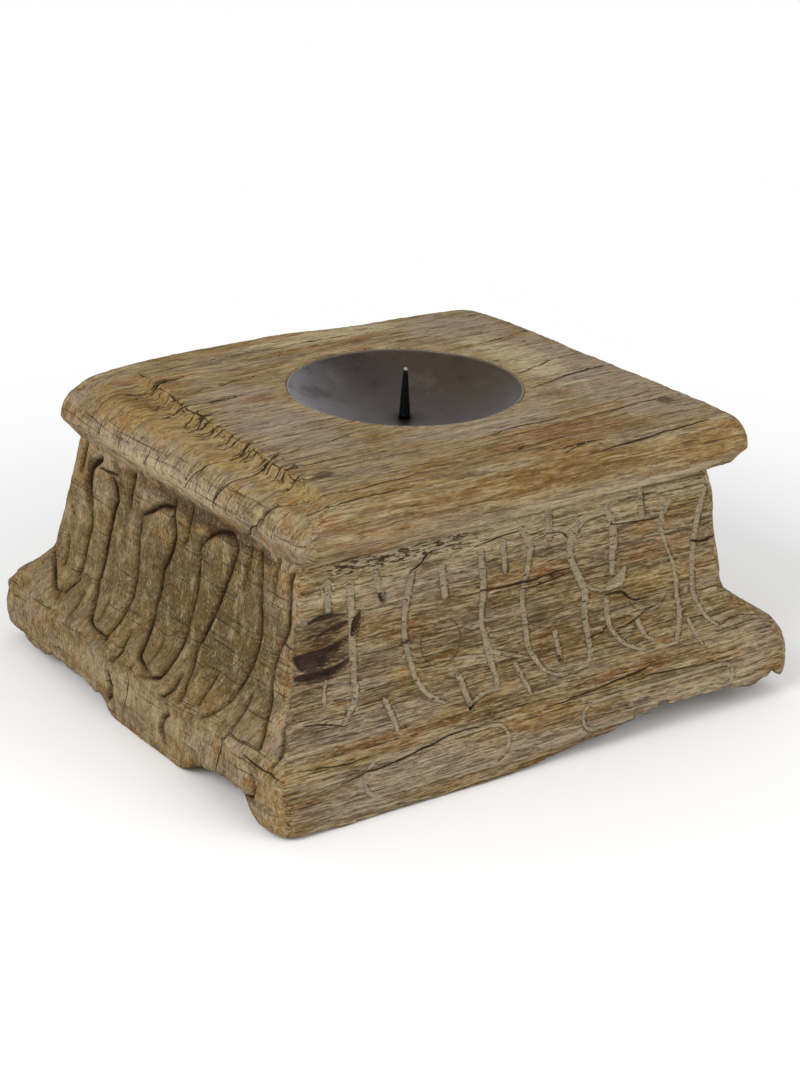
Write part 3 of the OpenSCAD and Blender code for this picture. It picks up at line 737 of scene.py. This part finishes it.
def tear_fibres(out, base, fields):
    """Raises fibres under the slab's front edge, and marks those and the cuts as torn."""
    x, y, z = base.T
    torn = fade(z, 97, 100) * fade(z, 108, 105) * fade(y, -88, -91)
    torn *= fade(abs(x + 62), 52, 30)
    fields["torn"] = np.maximum(torn, 0.88 * fade(fields["pale_cut"], -0.1, 0.6))
    out += torn * 1.3 * (value_noise(base, (4, 1.6, 1.4), 41, 2) - 0.1)


def roughen(out, base, normals, fields):
    """Lumps on the foot of the carved end, unevenness all over, and the relief of the grain."""
    x, _, z = base.T
    lumps = fade(x, -113, -121) * fade(z, 8, 20) * fade(z, 50, 34)
    out += 1.7 * lumps * value_noise(base, (60, 11, 16), 45, 2)
    # A ragged ridge runs along the upper edge of that foot
    arris_z = 30 + 2.5 * value_noise(base * [0, 1, 0], (9, 14, 9), 49, 2)
    arris = np.exp(-((z - arris_z) / 2.4) ** 2) * fade(normals[:, 0], -0.4, -0.8)
    out += 1.5 * arris * fade(z, 20, 24)
    out += 0.3 * value_noise(base, (3, 3, 3), 47, 2)
    out += 0.9 * value_noise(base, (45, 30, 30), 11, 2)
    # Long fibres on the long faces, and on the ends thin layers that are rougher below the slab
    grain = value_noise(base, (34, 1.7, 1.7), 21, 2)
    broad = value_noise(base, (60, 7, 7), 25, 2)
    layers = value_noise(base, (30, 30, 2.4), 23, 2)
    end = fields["end_grain"]
    rough = 0.06 + 0.08 * fade(z, 112, 104)
    fields["relief"] = (0.3 * grain + 0.24 * broad) * (1 - end) + rough * layers * end
    out += fields["relief"]


def closed_mesh(points, shape, fields):
    """The rings of points as one closed mesh, with a fan at each end and the fields on its points."""
    size = len(points)
    index = np.arange(size).reshape(shape)
    after = np.roll(index, -1, 1)
    quads = np.stack([index[:-1], after[:-1], after[1:], index[1:]], -1).reshape(-1, 4)
    poles = np.array([points[index[0]].mean(0), points[index[-1]].mean(0)])
    fans = [(size, b, a) for a, b in zip(index[0], after[0])]
    fans += [(size + 1, a, b) for a, b in zip(index[-1], after[-1])]
    mesh = bpy.data.meshes.new("carved_timber")
    mesh.from_pydata((np.vstack([points, poles]) * MM).tolist(), [], quads.tolist() + fans)
    for name, values in fields.items():
        layer = mesh.attributes.new(name, "FLOAT", "POINT")
        layer.data.foreach_set("value", np.append(values, values[[index[0, 0], index[-1, 0]]]))
    return mesh


def make_block():
    """The carved timber, as one closed mesh with the fields that its material reads."""
    rows, open_rows = block_skin(0.7)
    shape = rows.shape[:2]
    along = np.roll(rows, -1, 1) - np.roll(rows, 1, 1)
    normals = np.cross(along, np.gradient(rows, axis=0))
    normals /= np.maximum(np.linalg.norm(normals, axis=2, keepdims=True), 1e-9)
    base = rows.reshape(-1, 3)
    normals = normals.reshape(-1, 3)

    fields = plain_fields(base, normals)
    out = np.zeros(len(base))
    carve_sides(out, base, fields)
    out -= crack(base, normals, fields)
    break_ledge(out, base, fields)
    tear_fibres(out, base, fields)
    roughen(out, base, normals, fields)
    # The turned seat of the dish stays smooth
    out[np.repeat(np.arange(shape[0]) >= open_rows, shape[1])] = 0

    points = base + normals * out[:, None]
    points[:, 2] = np.maximum(worn_foot(points, fields), 0)
    reshape_by_wear(points, base)

    block = link_object("carved_timber", closed_mesh(points, shape, fields))
    thin = block.modifiers.new("fewer_faces", "DECIMATE")
    thin.ratio = min(1, MAX_TRIANGLES / (2 * len(base)))
    block.data = shaped_mesh(block, thin)
    finish_piece(block, "wood_block", weathered_timber())


# ---------------------------------------------------------------- pieces and materials


def link_object(name, mesh):
    """A new object of a mesh, put in the scene."""
    piece = bpy.data.objects.new(name, mesh)
    bpy.context.scene.collection.objects.link(piece)
    bpy.context.view_layer.update()
    return piece


def shaped_mesh(piece, modifier):
    """The mesh that a modifier makes of a piece, and takes the modifier off."""
    mesh = bpy.data.meshes.new_from_object(piece.evaluated_get(bpy.context.evaluated_depsgraph_get()))
    piece.modifiers.remove(modifier)
    return mesh


def finish_piece(piece, node, material):
    """Smooth shading and material, and what the piece stands for in the frame."""
    piece.data.shade_smooth()
    piece.data.materials.clear()
    piece.data.materials.append(material)
    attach(piece, "root")
    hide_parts(node)


def srgb(code):
    """Linear colour of an sRGB hex code."""
    parts = [int(code[i:i + 2], 16) / 255 for i in (1, 3, 5)]
    linear = [p / 12.92 if p <= 0.04045 else ((p + 0.055) / 1.055) ** 2.4 for p in parts]
    return (*linear, 1.0)


def add(tree, kind, inputs=None, **settings):
    """Adds a node with its settings; each input is another node's output or a fixed value."""
    node = tree.nodes.new(kind)
    for name, value in settings.items():
        setattr(node, name, value)
    for key, value in (inputs or {}).items():
        socket = next(s for i, s in enumerate(node.inputs) if key in (i, s.identifier, s.name))
        if isinstance(value, bpy.types.NodeSocket):
            tree.links.new(value, socket)
        else:
            socket.default_value = value
    return node


def lay_colours(tree, colour, layers):
    """Lays colours over one another: each layer has its mask, the mask's readings where it starts and
    where it is full, its strength and its colour."""
    for mask, start, end, strength, code in layers:
        share = add(tree, "ShaderNodeMapRange", {0: mask, 1: start, 2: end, 3: 0.0, 4: strength},
                    interpolation_type="SMOOTHSTEP")
        colour = add(tree, "ShaderNodeMix", {"Factor_Float": share.outputs[0], "A_Color": colour,
                                             "B_Color": srgb(code)}, data_type="RGBA").outputs[2]
    return colour


def new_material(name):
    """An empty node material with its shader, ready for colour and bump."""
    material = bpy.data.materials.new(name)
    material.use_nodes = True
    tree = material.node_tree
    tree.nodes.clear()
    shader = add(tree, "ShaderNodeBsdfPrincipled")
    add(tree, "ShaderNodeOutputMaterial", {"Surface": shader.outputs[0]})
    return material, tree, shader


def weathered_timber():
    """Bleached, cracked softwood, quite dull: grey straw tones over brown, with long fibres."""
    material, tree, shader = new_material("weathered_timber")
    place = add(tree, "ShaderNodeTexCoord").outputs["Object"]
    field = {name: add(tree, "ShaderNodeAttribute", attribute_name=name).outputs["Fac"]
             for name in FIELDS}

    # The grain wanders a little as it runs
    sway = add(tree, "ShaderNodeTexNoise", {"Vector": place, "Scale": 16.0, "Detail": 1.0})
    swayed = add(tree, "ShaderNodeVectorMath", {0: sway.outputs["Color"], 1: (0.0, 0.004, 0.004), 2: place},
                 operation="MULTIPLY_ADD").outputs[0]
    # Each pattern's size in mm along X, Y and Z on the long faces, then on the ends, and its detail.
    # Wood fibres are too fine to show at this size, so fibres, slits and grit are drawn coarser
    patterns = {
        "patches": ((80, 24, 18), (50, 26, 16), 3),
        "stains": ((60, 9, 8), (40, 18, 8), 4),
        "streaks": ((110, 2.6, 2.6), (40, 40, 2.6), 4),
        "fibres": ((26, 0.9, 0.9), (16, 1.0, 2.8), 3),
        "slits": ((46, 0.9, 0.9), (30, 40, 0.8), 2),
        "chips": ((5, 1.2, 1.0), (3, 3, 1.1), 3),
        "grit": ((5, 0.8, 0.8), (2, 0.8, 1.4), 2),
        "mottle": ((16, 2.4, 2.4), (6, 5, 9), 4),
    }
    # The patterns stand out most on the long faces below the slab
    noise = {}
    for number, (name, (side_size, end_size, detail)) in enumerate(patterns.items()):
        pair = []
        for size in (side_size, end_size):
            # Each pattern lies elsewhere in the noise, so that no two line up
            spread = add(tree, "ShaderNodeMapping", {
                "Vector": swayed, "Location": (3.1 * number, 1.7 * number, 0.9 * number),
                "Scale": tuple(1 / (length * MM) for length in size)})
            pair.append(add(tree, "ShaderNodeTexNoise", {
                "Vector": spread.outputs[0], "Scale": 1.0, "Detail": float(detail), "Roughness": 0.62}))
        mixed = add(tree, "ShaderNodeMix", {
            "Factor_Float": field["end_grain"], "A_Float": pair[0].outputs["Fac"],
            "B_Float": pair[1].outputs["Fac"]}, data_type="FLOAT").outputs[0]
        centred = add(tree, "ShaderNodeMath", {0: mixed, 1: 0.5}, operation="SUBTRACT").outputs[0]
        noise[name] = add(tree, "ShaderNodeMath", {0: centred, 1: field["contrast"], 2: 0.5},
                          operation="MULTIPLY_ADD").outputs[0]

    # The crack's own gap is where the surface is nearer to its line than half its width
    reach = add(tree, "ShaderNodeMath", {0: field["crack_side"]}, operation="ABSOLUTE").outputs[0]
    gap = add(tree, "ShaderNodeMath", {0: field["crack_gap"], 1: reach}, operation="SUBTRACT").outputs[0]
    # Each carved edge is a little ragged, and a pale cut's edge has a dark line of painted shade
    ragged = {name: add(tree, "ShaderNodeMath", {0: noise[by], 1: amount, 2: field[name]},
                        operation="MULTIPLY_ADD").outputs[0]
              for name, by, amount in (("pale_cut", "grit", -0.5), ("dark_cut", "mottle", 1.4),
                                       ("hollow", "fibres", 5.0))}
    from_edge = add(tree, "ShaderNodeMath", {0: ragged["pale_cut"], 1: 0.35}, operation="ADD").outputs[0]
    from_edge = add(tree, "ShaderNodeMath", {0: from_edge}, operation="ABSOLUTE").outputs[0]
    arris = add(tree, "ShaderNodeMath", {0: from_edge, 1: noise["mottle"]}, operation="ADD").outputs[0]
    chipped = {up: add(tree, "ShaderNodeMath", {0: noise["chips"], 1: up, 2: field["torn"]},
                       operation="MULTIPLY_ADD").outputs[0] for up in (1.0, -1.0)}

    tones = {name: (field[name], 0.0, 1.0, strength, code) for name, (strength, code, _) in TONES.items()}
    # The carved end's two tones lie over the fibres and quieten them; the umber is partly painted shade
    end_tones = [tones.pop(name) for name in ("olive", "umber")]

    colour = lay_colours(tree, srgb("#7d6848"), [
        (noise["streaks"], 0.30, 0.70, 1.0, "#a38e69"),
        (noise["patches"], 0.50, 0.61, 0.70, "#957f6e"),
        (noise["patches"], 0.47, 0.37, 0.70, "#8f6d3a"),
        (noise["stains"], 0.54, 0.63, 0.70, "#8c6230"),
        (noise["stains"], 0.45, 0.34, 0.60, "#635443"),
    ] + list(tones.values()) + [
        (field["rim"], 0.0, 1.0, 0.55, "#a5906c"),
        (noise["fibres"], 0.47, 0.35, 0.55, "#55422a"),
        (noise["fibres"], 0.52, 0.65, 0.50, "#b9a987"),
    ] + end_tones + [
        (noise["mottle"], 0.52, 0.68, 0.42, "#b2a17c"),
        (noise["mottle"], 0.47, 0.34, 0.50, "#564228"),
        # Painted shade: the timber is darker where its relief sinks in
        (field["relief"], 0.0, -0.4, 0.35, "#543f27"),
        # Soil, and painted shade under the slab's overhang
        (field["soil_and_shade"], 0.0, 1.0, 0.70, "#3f2b1a"),
        (noise["slits"], 0.35, 0.29, 0.80, "#3a2a1c"),
        (noise["grit"], 0.54, 0.70, 0.50, "#4a3920"),
        (noise["grit"], 0.46, 0.30, 0.34, "#b4a37c"),
        # The end's cuts: their own dark colour, with painted shade in their floors
        (ragged["dark_cut"], -1.0, 1.4, 0.60, "#4f3b1d"),
        (ragged["dark_cut"], 0.7, 1.6, 0.94, "#26170a"),
        (ragged["pale_cut"], -0.20, 0.5, 0.85, "#a6987f"),
        (chipped[1.0], 1.50, 1.60, 0.7, "#bfae8e"),
        (chipped[-1.0], 0.51, 0.57, 0.85, "#35261a"),
        (field["scribed"], -0.4, 0.3, 0.60, "#44321f"),
        # Painted shade along the pale cuts' edges
        (arris, 0.75, 0.50, 0.65, "#4d3b25"),
        (ragged["hollow"], 1.9, 3.2, 0.90, "#382b25"),
        (gap, -0.12, 0.12, 0.92, "#302117"),
    ])
    tree.links.new(colour, shader.inputs["Base Color"])

    # Fibres and grit stand up, and slits and cracks cut in
    height = 0.0
    for source, start, end, amount in (
            (noise["fibres"], 0.3, 0.7, 0.45), (noise["grit"], 0.7, 0.3, 0.45),
            (noise["mottle"], 0.3, 0.7, 0.45), (noise["slits"], 0.38, 0.30, -0.6), (gap, -0.2, 0.2, -0.9)):
        share = add(tree, "ShaderNodeMapRange", {0: source, 1: start, 2: end, 3: 0.0, 4: amount})
        height = add(tree, "ShaderNodeMath", {0: share.outputs[0], 1: height}, operation="ADD").outputs[0]
    bump = add(tree, "ShaderNodeBump", {"Height": height, "Distance": MM, "Strength": 0.9})
    tree.links.new(bump.outputs[0], shader.inputs["Normal"])
    shader.inputs["Roughness"].default_value = 0.9
    shader.inputs["Specular IOR Level"].default_value = 0.12
    return material


# ---------------------------------------------------------------- dish and spike


def bowl_section():
    """Half section of the dish, as (radius, height): up its inside, over its rim, down its back."""
    arc_z = DISH_BASE + BOWL_R
    half = DISH_SHEET / 2
    sides = []
    for radius in (BOWL_R - DISH_SHEET, BOWL_R):
        sweep = math.acos((arc_z - RIM_Z + half) / radius)
        sides.append([(DISH_FLAT_R + radius * math.sin(a), arc_z - radius * math.cos(a))
                      for a in np.linspace(0, sweep, 26)])
    inside, back = sides
    rim = [(DISH_R - half - half * math.cos(a), RIM_Z - half + half * math.sin(a))
           for a in np.linspace(0, math.pi, 7)]
    hole = SHANK_R + SHANK_GAP
    return [(hole, DISH_BASE + DISH_SHEET)] + inside[:-1] + rim + back[-2::-1] + [(hole, DISH_BASE)]


def spike_section():
    """Half section of the spike, as (radius, height): blunt tip, taper, shoulder, shank and point."""
    foot = DISH_BASE + DISH_SHEET
    foot_r = (spike_high[0] - spike_low[0]) / 2
    tip_r = 1.0
    tip_z = spike_high[2] - tip_r
    tip = [(tip_r * math.sin(a), tip_z + tip_r * math.cos(a)) for a in np.linspace(0, 1.5, 6)]
    taper = [(tip_r + (foot_r - tip_r) * t, tip_z + (foot - tip_z) * t) for t in np.linspace(0.06, 1, 16)]
    point_h = 4.0
    return tip + taper + [(SHANK_R, foot), (SHANK_R, spike_low[2] + point_h), (0, spike_low[2])]


def turned_shape():
    """Node tree that turns a half section about the upright axis and makes it a little uneven."""
    tree = bpy.data.node_groups.new("turned_shape", "GeometryNodeTree")
    for name, kind, way in (("Section", "NodeSocketGeometry", "INPUT"), ("Around", "NodeSocketInt", "INPUT"),
                            ("Uneven", "NodeSocketFloat", "INPUT"), ("Ripple", "NodeSocketFloat", "INPUT"),
                            ("Surface", "NodeSocketMaterial", "INPUT"),
                            ("Shape", "NodeSocketGeometry", "OUTPUT")):
        tree.interface.new_socket(name, socket_type=kind, in_out=way)
    given = add(tree, "NodeGroupInput").outputs
    section = add(tree, "GeometryNodeMeshToCurve", {"Mesh": given["Section"]})
    circle = add(tree, "GeometryNodeCurvePrimitiveCircle", {"Resolution": given["Around"], "Radius": MM})
    path = add(tree, "GeometryNodeSetCurveNormal", {"Curve": circle.outputs["Curve"]}, mode="Z_UP")
    turned = add(tree, "GeometryNodeCurveToMesh", {"Curve": path.outputs["Curve"],
                                                   "Profile Curve": section.outputs["Curve"]})
    closed = add(tree, "GeometryNodeMergeByDistance", {"Geometry": turned.outputs["Mesh"],
                                                       "Distance": 0.01 * MM})
    ripple = add(tree, "ShaderNodeTexNoise", {"Scale": given["Ripple"], "Detail": 1.0})
    centred = add(tree, "ShaderNodeVectorMath", {0: ripple.outputs["Color"], 1: (0.5, 0.5, 0.5)},
                  operation="SUBTRACT")
    shift = add(tree, "ShaderNodeVectorMath", {0: centred.outputs[0], "Scale": given["Uneven"]},
                operation="SCALE")
    uneven = add(tree, "GeometryNodeSetPosition", {"Geometry": closed.outputs["Geometry"],
                                                   "Offset": shift.outputs[0]})
    real = add(tree, "GeometryNodeRealizeInstances", {"Geometry": uneven.outputs["Geometry"]})
    coated = add(tree, "GeometryNodeSetMaterial", {"Geometry": real.outputs["Geometry"],
                                                   "Material": given["Surface"]})
    add(tree, "NodeGroupOutput", {"Shape": coated.outputs["Geometry"]})
    return tree


def make_turned(tree, name, section, closed, node, slot, material, **inputs):
    """A piece turned from a half section, which may close on itself, about the dish's axis."""
    mesh = bpy.data.meshes.new(name)
    # The path of the turning is a circle of 1 mm, so the section starts that much further in
    points = [((radius - 1) * MM, -height * MM, 0) for radius, height in section]
    edges = [(i, i + 1) for i in range(len(points) - 1)]
    if closed:
        edges.append((len(points) - 1, 0))
    mesh.from_pydata(points, edges, [])
    piece = link_object(name, mesh)
    turning = piece.modifiers.new("turned_shape", "NODES")
    turning.node_group = tree
    inputs["Surface"] = material
    for socket in tree.interface.items_tree:
        if socket.name in inputs:
            turning[socket.identifier] = inputs[socket.name]
    piece.data = shaped_mesh(piece, turning)
    piece.data.transform(Matrix.Translation((DISH_X * MM, DISH_Y * MM, 0)))
    finish_piece(piece, node, material)


def aged_metal(name, base, layers, roughness, pit):
    """Bare metal with a mottled patina in soft patches and painted light and shade along ways; it gives a
    dull sheen.

    A layer's mask is a way across the dish, a distance out or up in metres, or the clouds or specks.
    """
    material, tree, shader = new_material(name)
    place = add(tree, "ShaderNodeMapping", {
        "Vector": add(tree, "ShaderNodeTexCoord").outputs["Object"],
        "Location": (-DISH_X * MM, -DISH_Y * MM, 0)}).outputs[0]
    part = add(tree, "ShaderNodeSeparateXYZ", {0: place}).outputs
    cloud = add(tree, "ShaderNodeTexNoise", {"Vector": place, "Scale": 55.0, "Detail": 5.0,
                                             "Roughness": 0.65})
    # Real pits are too fine to show, so the specks are drawn coarser
    speck = add(tree, "ShaderNodeTexNoise", {"Vector": place, "Scale": 500.0, "Detail": 3.0})
    flat = add(tree, "ShaderNodeCombineXYZ", {0: part[0], 1: part[1]}).outputs[0]
    masks = {"out": add(tree, "ShaderNodeVectorMath", {0: flat}, operation="LENGTH").outputs["Value"],
             "up": part[2], "cloud": cloud.outputs["Fac"], "speck": speck.outputs["Fac"]}
    for way in [mask for mask, *_ in layers if isinstance(mask, tuple)]:
        away = add(tree, "ShaderNodeVectorMath", {0: place, 1: (*way, 0)}, operation="DOT_PRODUCT")
        masks[way] = add(tree, "ShaderNodeMath", {0: cloud.outputs["Fac"], 1: 0.03,
                                                  2: away.outputs["Value"]},
                         operation="MULTIPLY_ADD").outputs[0]
    colour = lay_colours(tree, srgb(base), [(masks[mask], *rest) for mask, *rest in layers])
    tree.links.new(colour, shader.inputs["Base Color"])
    bump = add(tree, "ShaderNodeBump", {"Height": speck.outputs["Fac"], "Distance": MM, "Strength": pit})
    tree.links.new(bump.outputs[0], shader.inputs["Normal"])
    shader.inputs["Metallic"].default_value = 1.0
    shader.inputs["Roughness"].default_value = roughness
    return material


def make_dish_and_spike():
    """The pressed dish and the pricket, both turned about the dish's axis."""
    rim, tip = DISH_R * MM, spike_high[2] * MM
    # Dark oiled steel: a blue grey bloom towards the left is painted reflection, it is brown towards the
    # right, painted shade makes it nearly black at the back, soot lies round the spike and the rim has a
    # painted highlight
    steel = aged_metal("patinated_steel", "#453d3b", [
        ((-0.35, 0.94), 0.035, 0.075, 0.70, "#2c2422"),
        ((0.98, 0.2), 0.030, 0.065, 0.75, "#443b2a"),
        ((-0.98, 0.10), 0.012, 0.080, 0.90, "#7a787b"),
        ("cloud", 0.55, 0.75, 0.35, "#6a625c"),
        ("cloud", 0.48, 0.30, 0.50, "#2d2624"),
        ("speck", 0.66, 0.74, 0.25, "#7d7570"),
        ("out", 0.013, 0.004, 0.70, "#2a2322"),
        ("out", rim - 0.0015, rim - 0.0005, 0.60, "#8d867c"),
    ], 0.5, 0.12)
    # Blackened iron: a nearly black shine, a blue grey glint on one flank and a tip worn bright
    iron = aged_metal("blackened_iron", "#1d2022", [
        ((-0.8, 0.6), 0.0252, 0.0275, 0.60, "#4d565c"),
        ("cloud", 0.50, 0.65, 0.50, "#33393c"),
        ("up", tip - 0.0016, tip - 0.0004, 0.85, "#a59c8e"),
    ], 0.38, 0.25)
    tree = turned_shape()
    make_turned(tree, "dish", bowl_section(), True, "candle_dish", "dish_steel", steel,
                Around=128, Uneven=0.25 * MM, Ripple=45.0)
    make_turned(tree, "spike", spike_section(), False, "candle_spike", "spike_iron", iron,
                Around=10, Uneven=0.35 * MM, Ripple=160.0)


# ---------------------------------------------------------------- stage


def add_camera():
    """A long lens that looks down on the block's front left corner."""
    azimuth, elevation, roll = (math.radians(v) for v in (-35.0, 22.2, 1.4))
    aim = Vector((9.25, 5.0, 2.4)) * MM
    across, raised, distance = 0.0003, 0.0562, 1.253
    back = Vector((math.sin(azimuth) * math.cos(elevation), -math.cos(azimuth) * math.cos(elevation),
                   math.sin(elevation)))
    level = Vector((math.cos(azimuth), math.sin(azimuth), 0))
    upward = back.cross(level)
    right = level * math.cos(roll) + upward * math.sin(roll)
    top = upward * math.cos(roll) - level * math.sin(roll)
    camera = bpy.data.objects.new("camera", bpy.data.cameras.new("camera"))
    camera.matrix_world = Matrix.Translation(aim + right * across + top * raised + back * distance) @ Matrix(
        (right, top, back)).transposed().to_4x4()
    camera.data.sensor_width = 36
    camera.data.lens = 88.14
    bpy.context.scene.collection.objects.link(camera)
    bpy.context.scene.camera = camera


def add_softbox(name, place, size, power):
    """A square lamp that faces the middle of the block."""
    middle = Vector((0, 0, 0.07))
    lamp = bpy.data.lights.new(name, "AREA")
    lamp.size = size
    lamp.energy = power
    holder = bpy.data.objects.new(name, lamp)
    facing = (middle - Vector(place)).to_track_quat("-Z", "Y")
    holder.matrix_world = Matrix.Translation(place) @ facing.to_matrix().to_4x4()
    bpy.context.scene.collection.objects.link(holder)


def seen_directly(tree):
    """1 for what the eye sees straight on, in a gloss or through glass, and 0 for light on its way."""
    path = add(tree, "ShaderNodeLightPath")
    seen = path.outputs["Is Camera Ray"]
    for other in ("Is Glossy Ray", "Is Transmission Ray"):
        seen = add(tree, "ShaderNodeMath", {0: seen, 1: path.outputs[other]}, operation="MAXIMUM").outputs[0]
    return seen


def add_stage():
    """Pale floor that runs out into white surroundings, and two soft lamps."""
    mesh = bpy.data.meshes.new("floor")
    half = 6.0
    corners = [(-half, -half, 0), (half, -half, 0), (half, half, 0), (-half, half, 0)]
    mesh.from_pydata(corners, [], [(0, 1, 2, 3)])
    floor = link_object("floor", mesh)
    # White paper is matt, and takes the block's soft shadow
    material, tree, shader = new_material("white_paper")
    shader.inputs["Base Color"].default_value = (0.96, 0.96, 0.96, 1)
    shader.inputs["Roughness"].default_value = 0.9
    # Past the block's shadow, a quarter to half a metre out, the eye sees it plain white
    place = add(tree, "ShaderNodeTexCoord").outputs["Object"]
    away = add(tree, "ShaderNodeVectorMath", {0: place}, operation="LENGTH").outputs["Value"]
    share = add(tree, "ShaderNodeMapRange", {0: away, 1: 0.24, 2: 0.48, 3: 0.0, 4: seen_directly(tree)},
                interpolation_type="SMOOTHSTEP").outputs[0]
    glow = add(tree, "ShaderNodeEmission", {"Color": (1, 1, 1, 1), "Strength": 1.0})
    both = add(tree, "ShaderNodeMixShader", {0: share, 1: shader.outputs[0], 2: glow.outputs[0]})
    tree.links.new(both.outputs[0], tree.nodes["Material Output"].inputs["Surface"])
    mesh.materials.append(material)

    world = bpy.data.worlds.new("studio")
    bpy.context.scene.world = world
    world.use_nodes = True
    tree = world.node_tree
    tree.nodes.clear()
    strength = add(tree, "ShaderNodeMapRange", {0: seen_directly(tree), 3: 0.66, 4: 1.0})
    glow = add(tree, "ShaderNodeBackground", {"Color": (1, 1, 1, 1), "Strength": strength.outputs[0]})
    add(tree, "ShaderNodeOutputWorld", {"Surface": glow.outputs[0]})
    add_softbox("key_lamp", (-1.3, -0.4, 1.0), 0.8, 14)
    add_softbox("fill_lamp", (0.5, -1.5, 0.9), 1.2, 10)
    bpy.context.scene.view_settings.view_transform = "Standard"


add_camera()
add_stage()
make_block()
make_dish_and_spike()
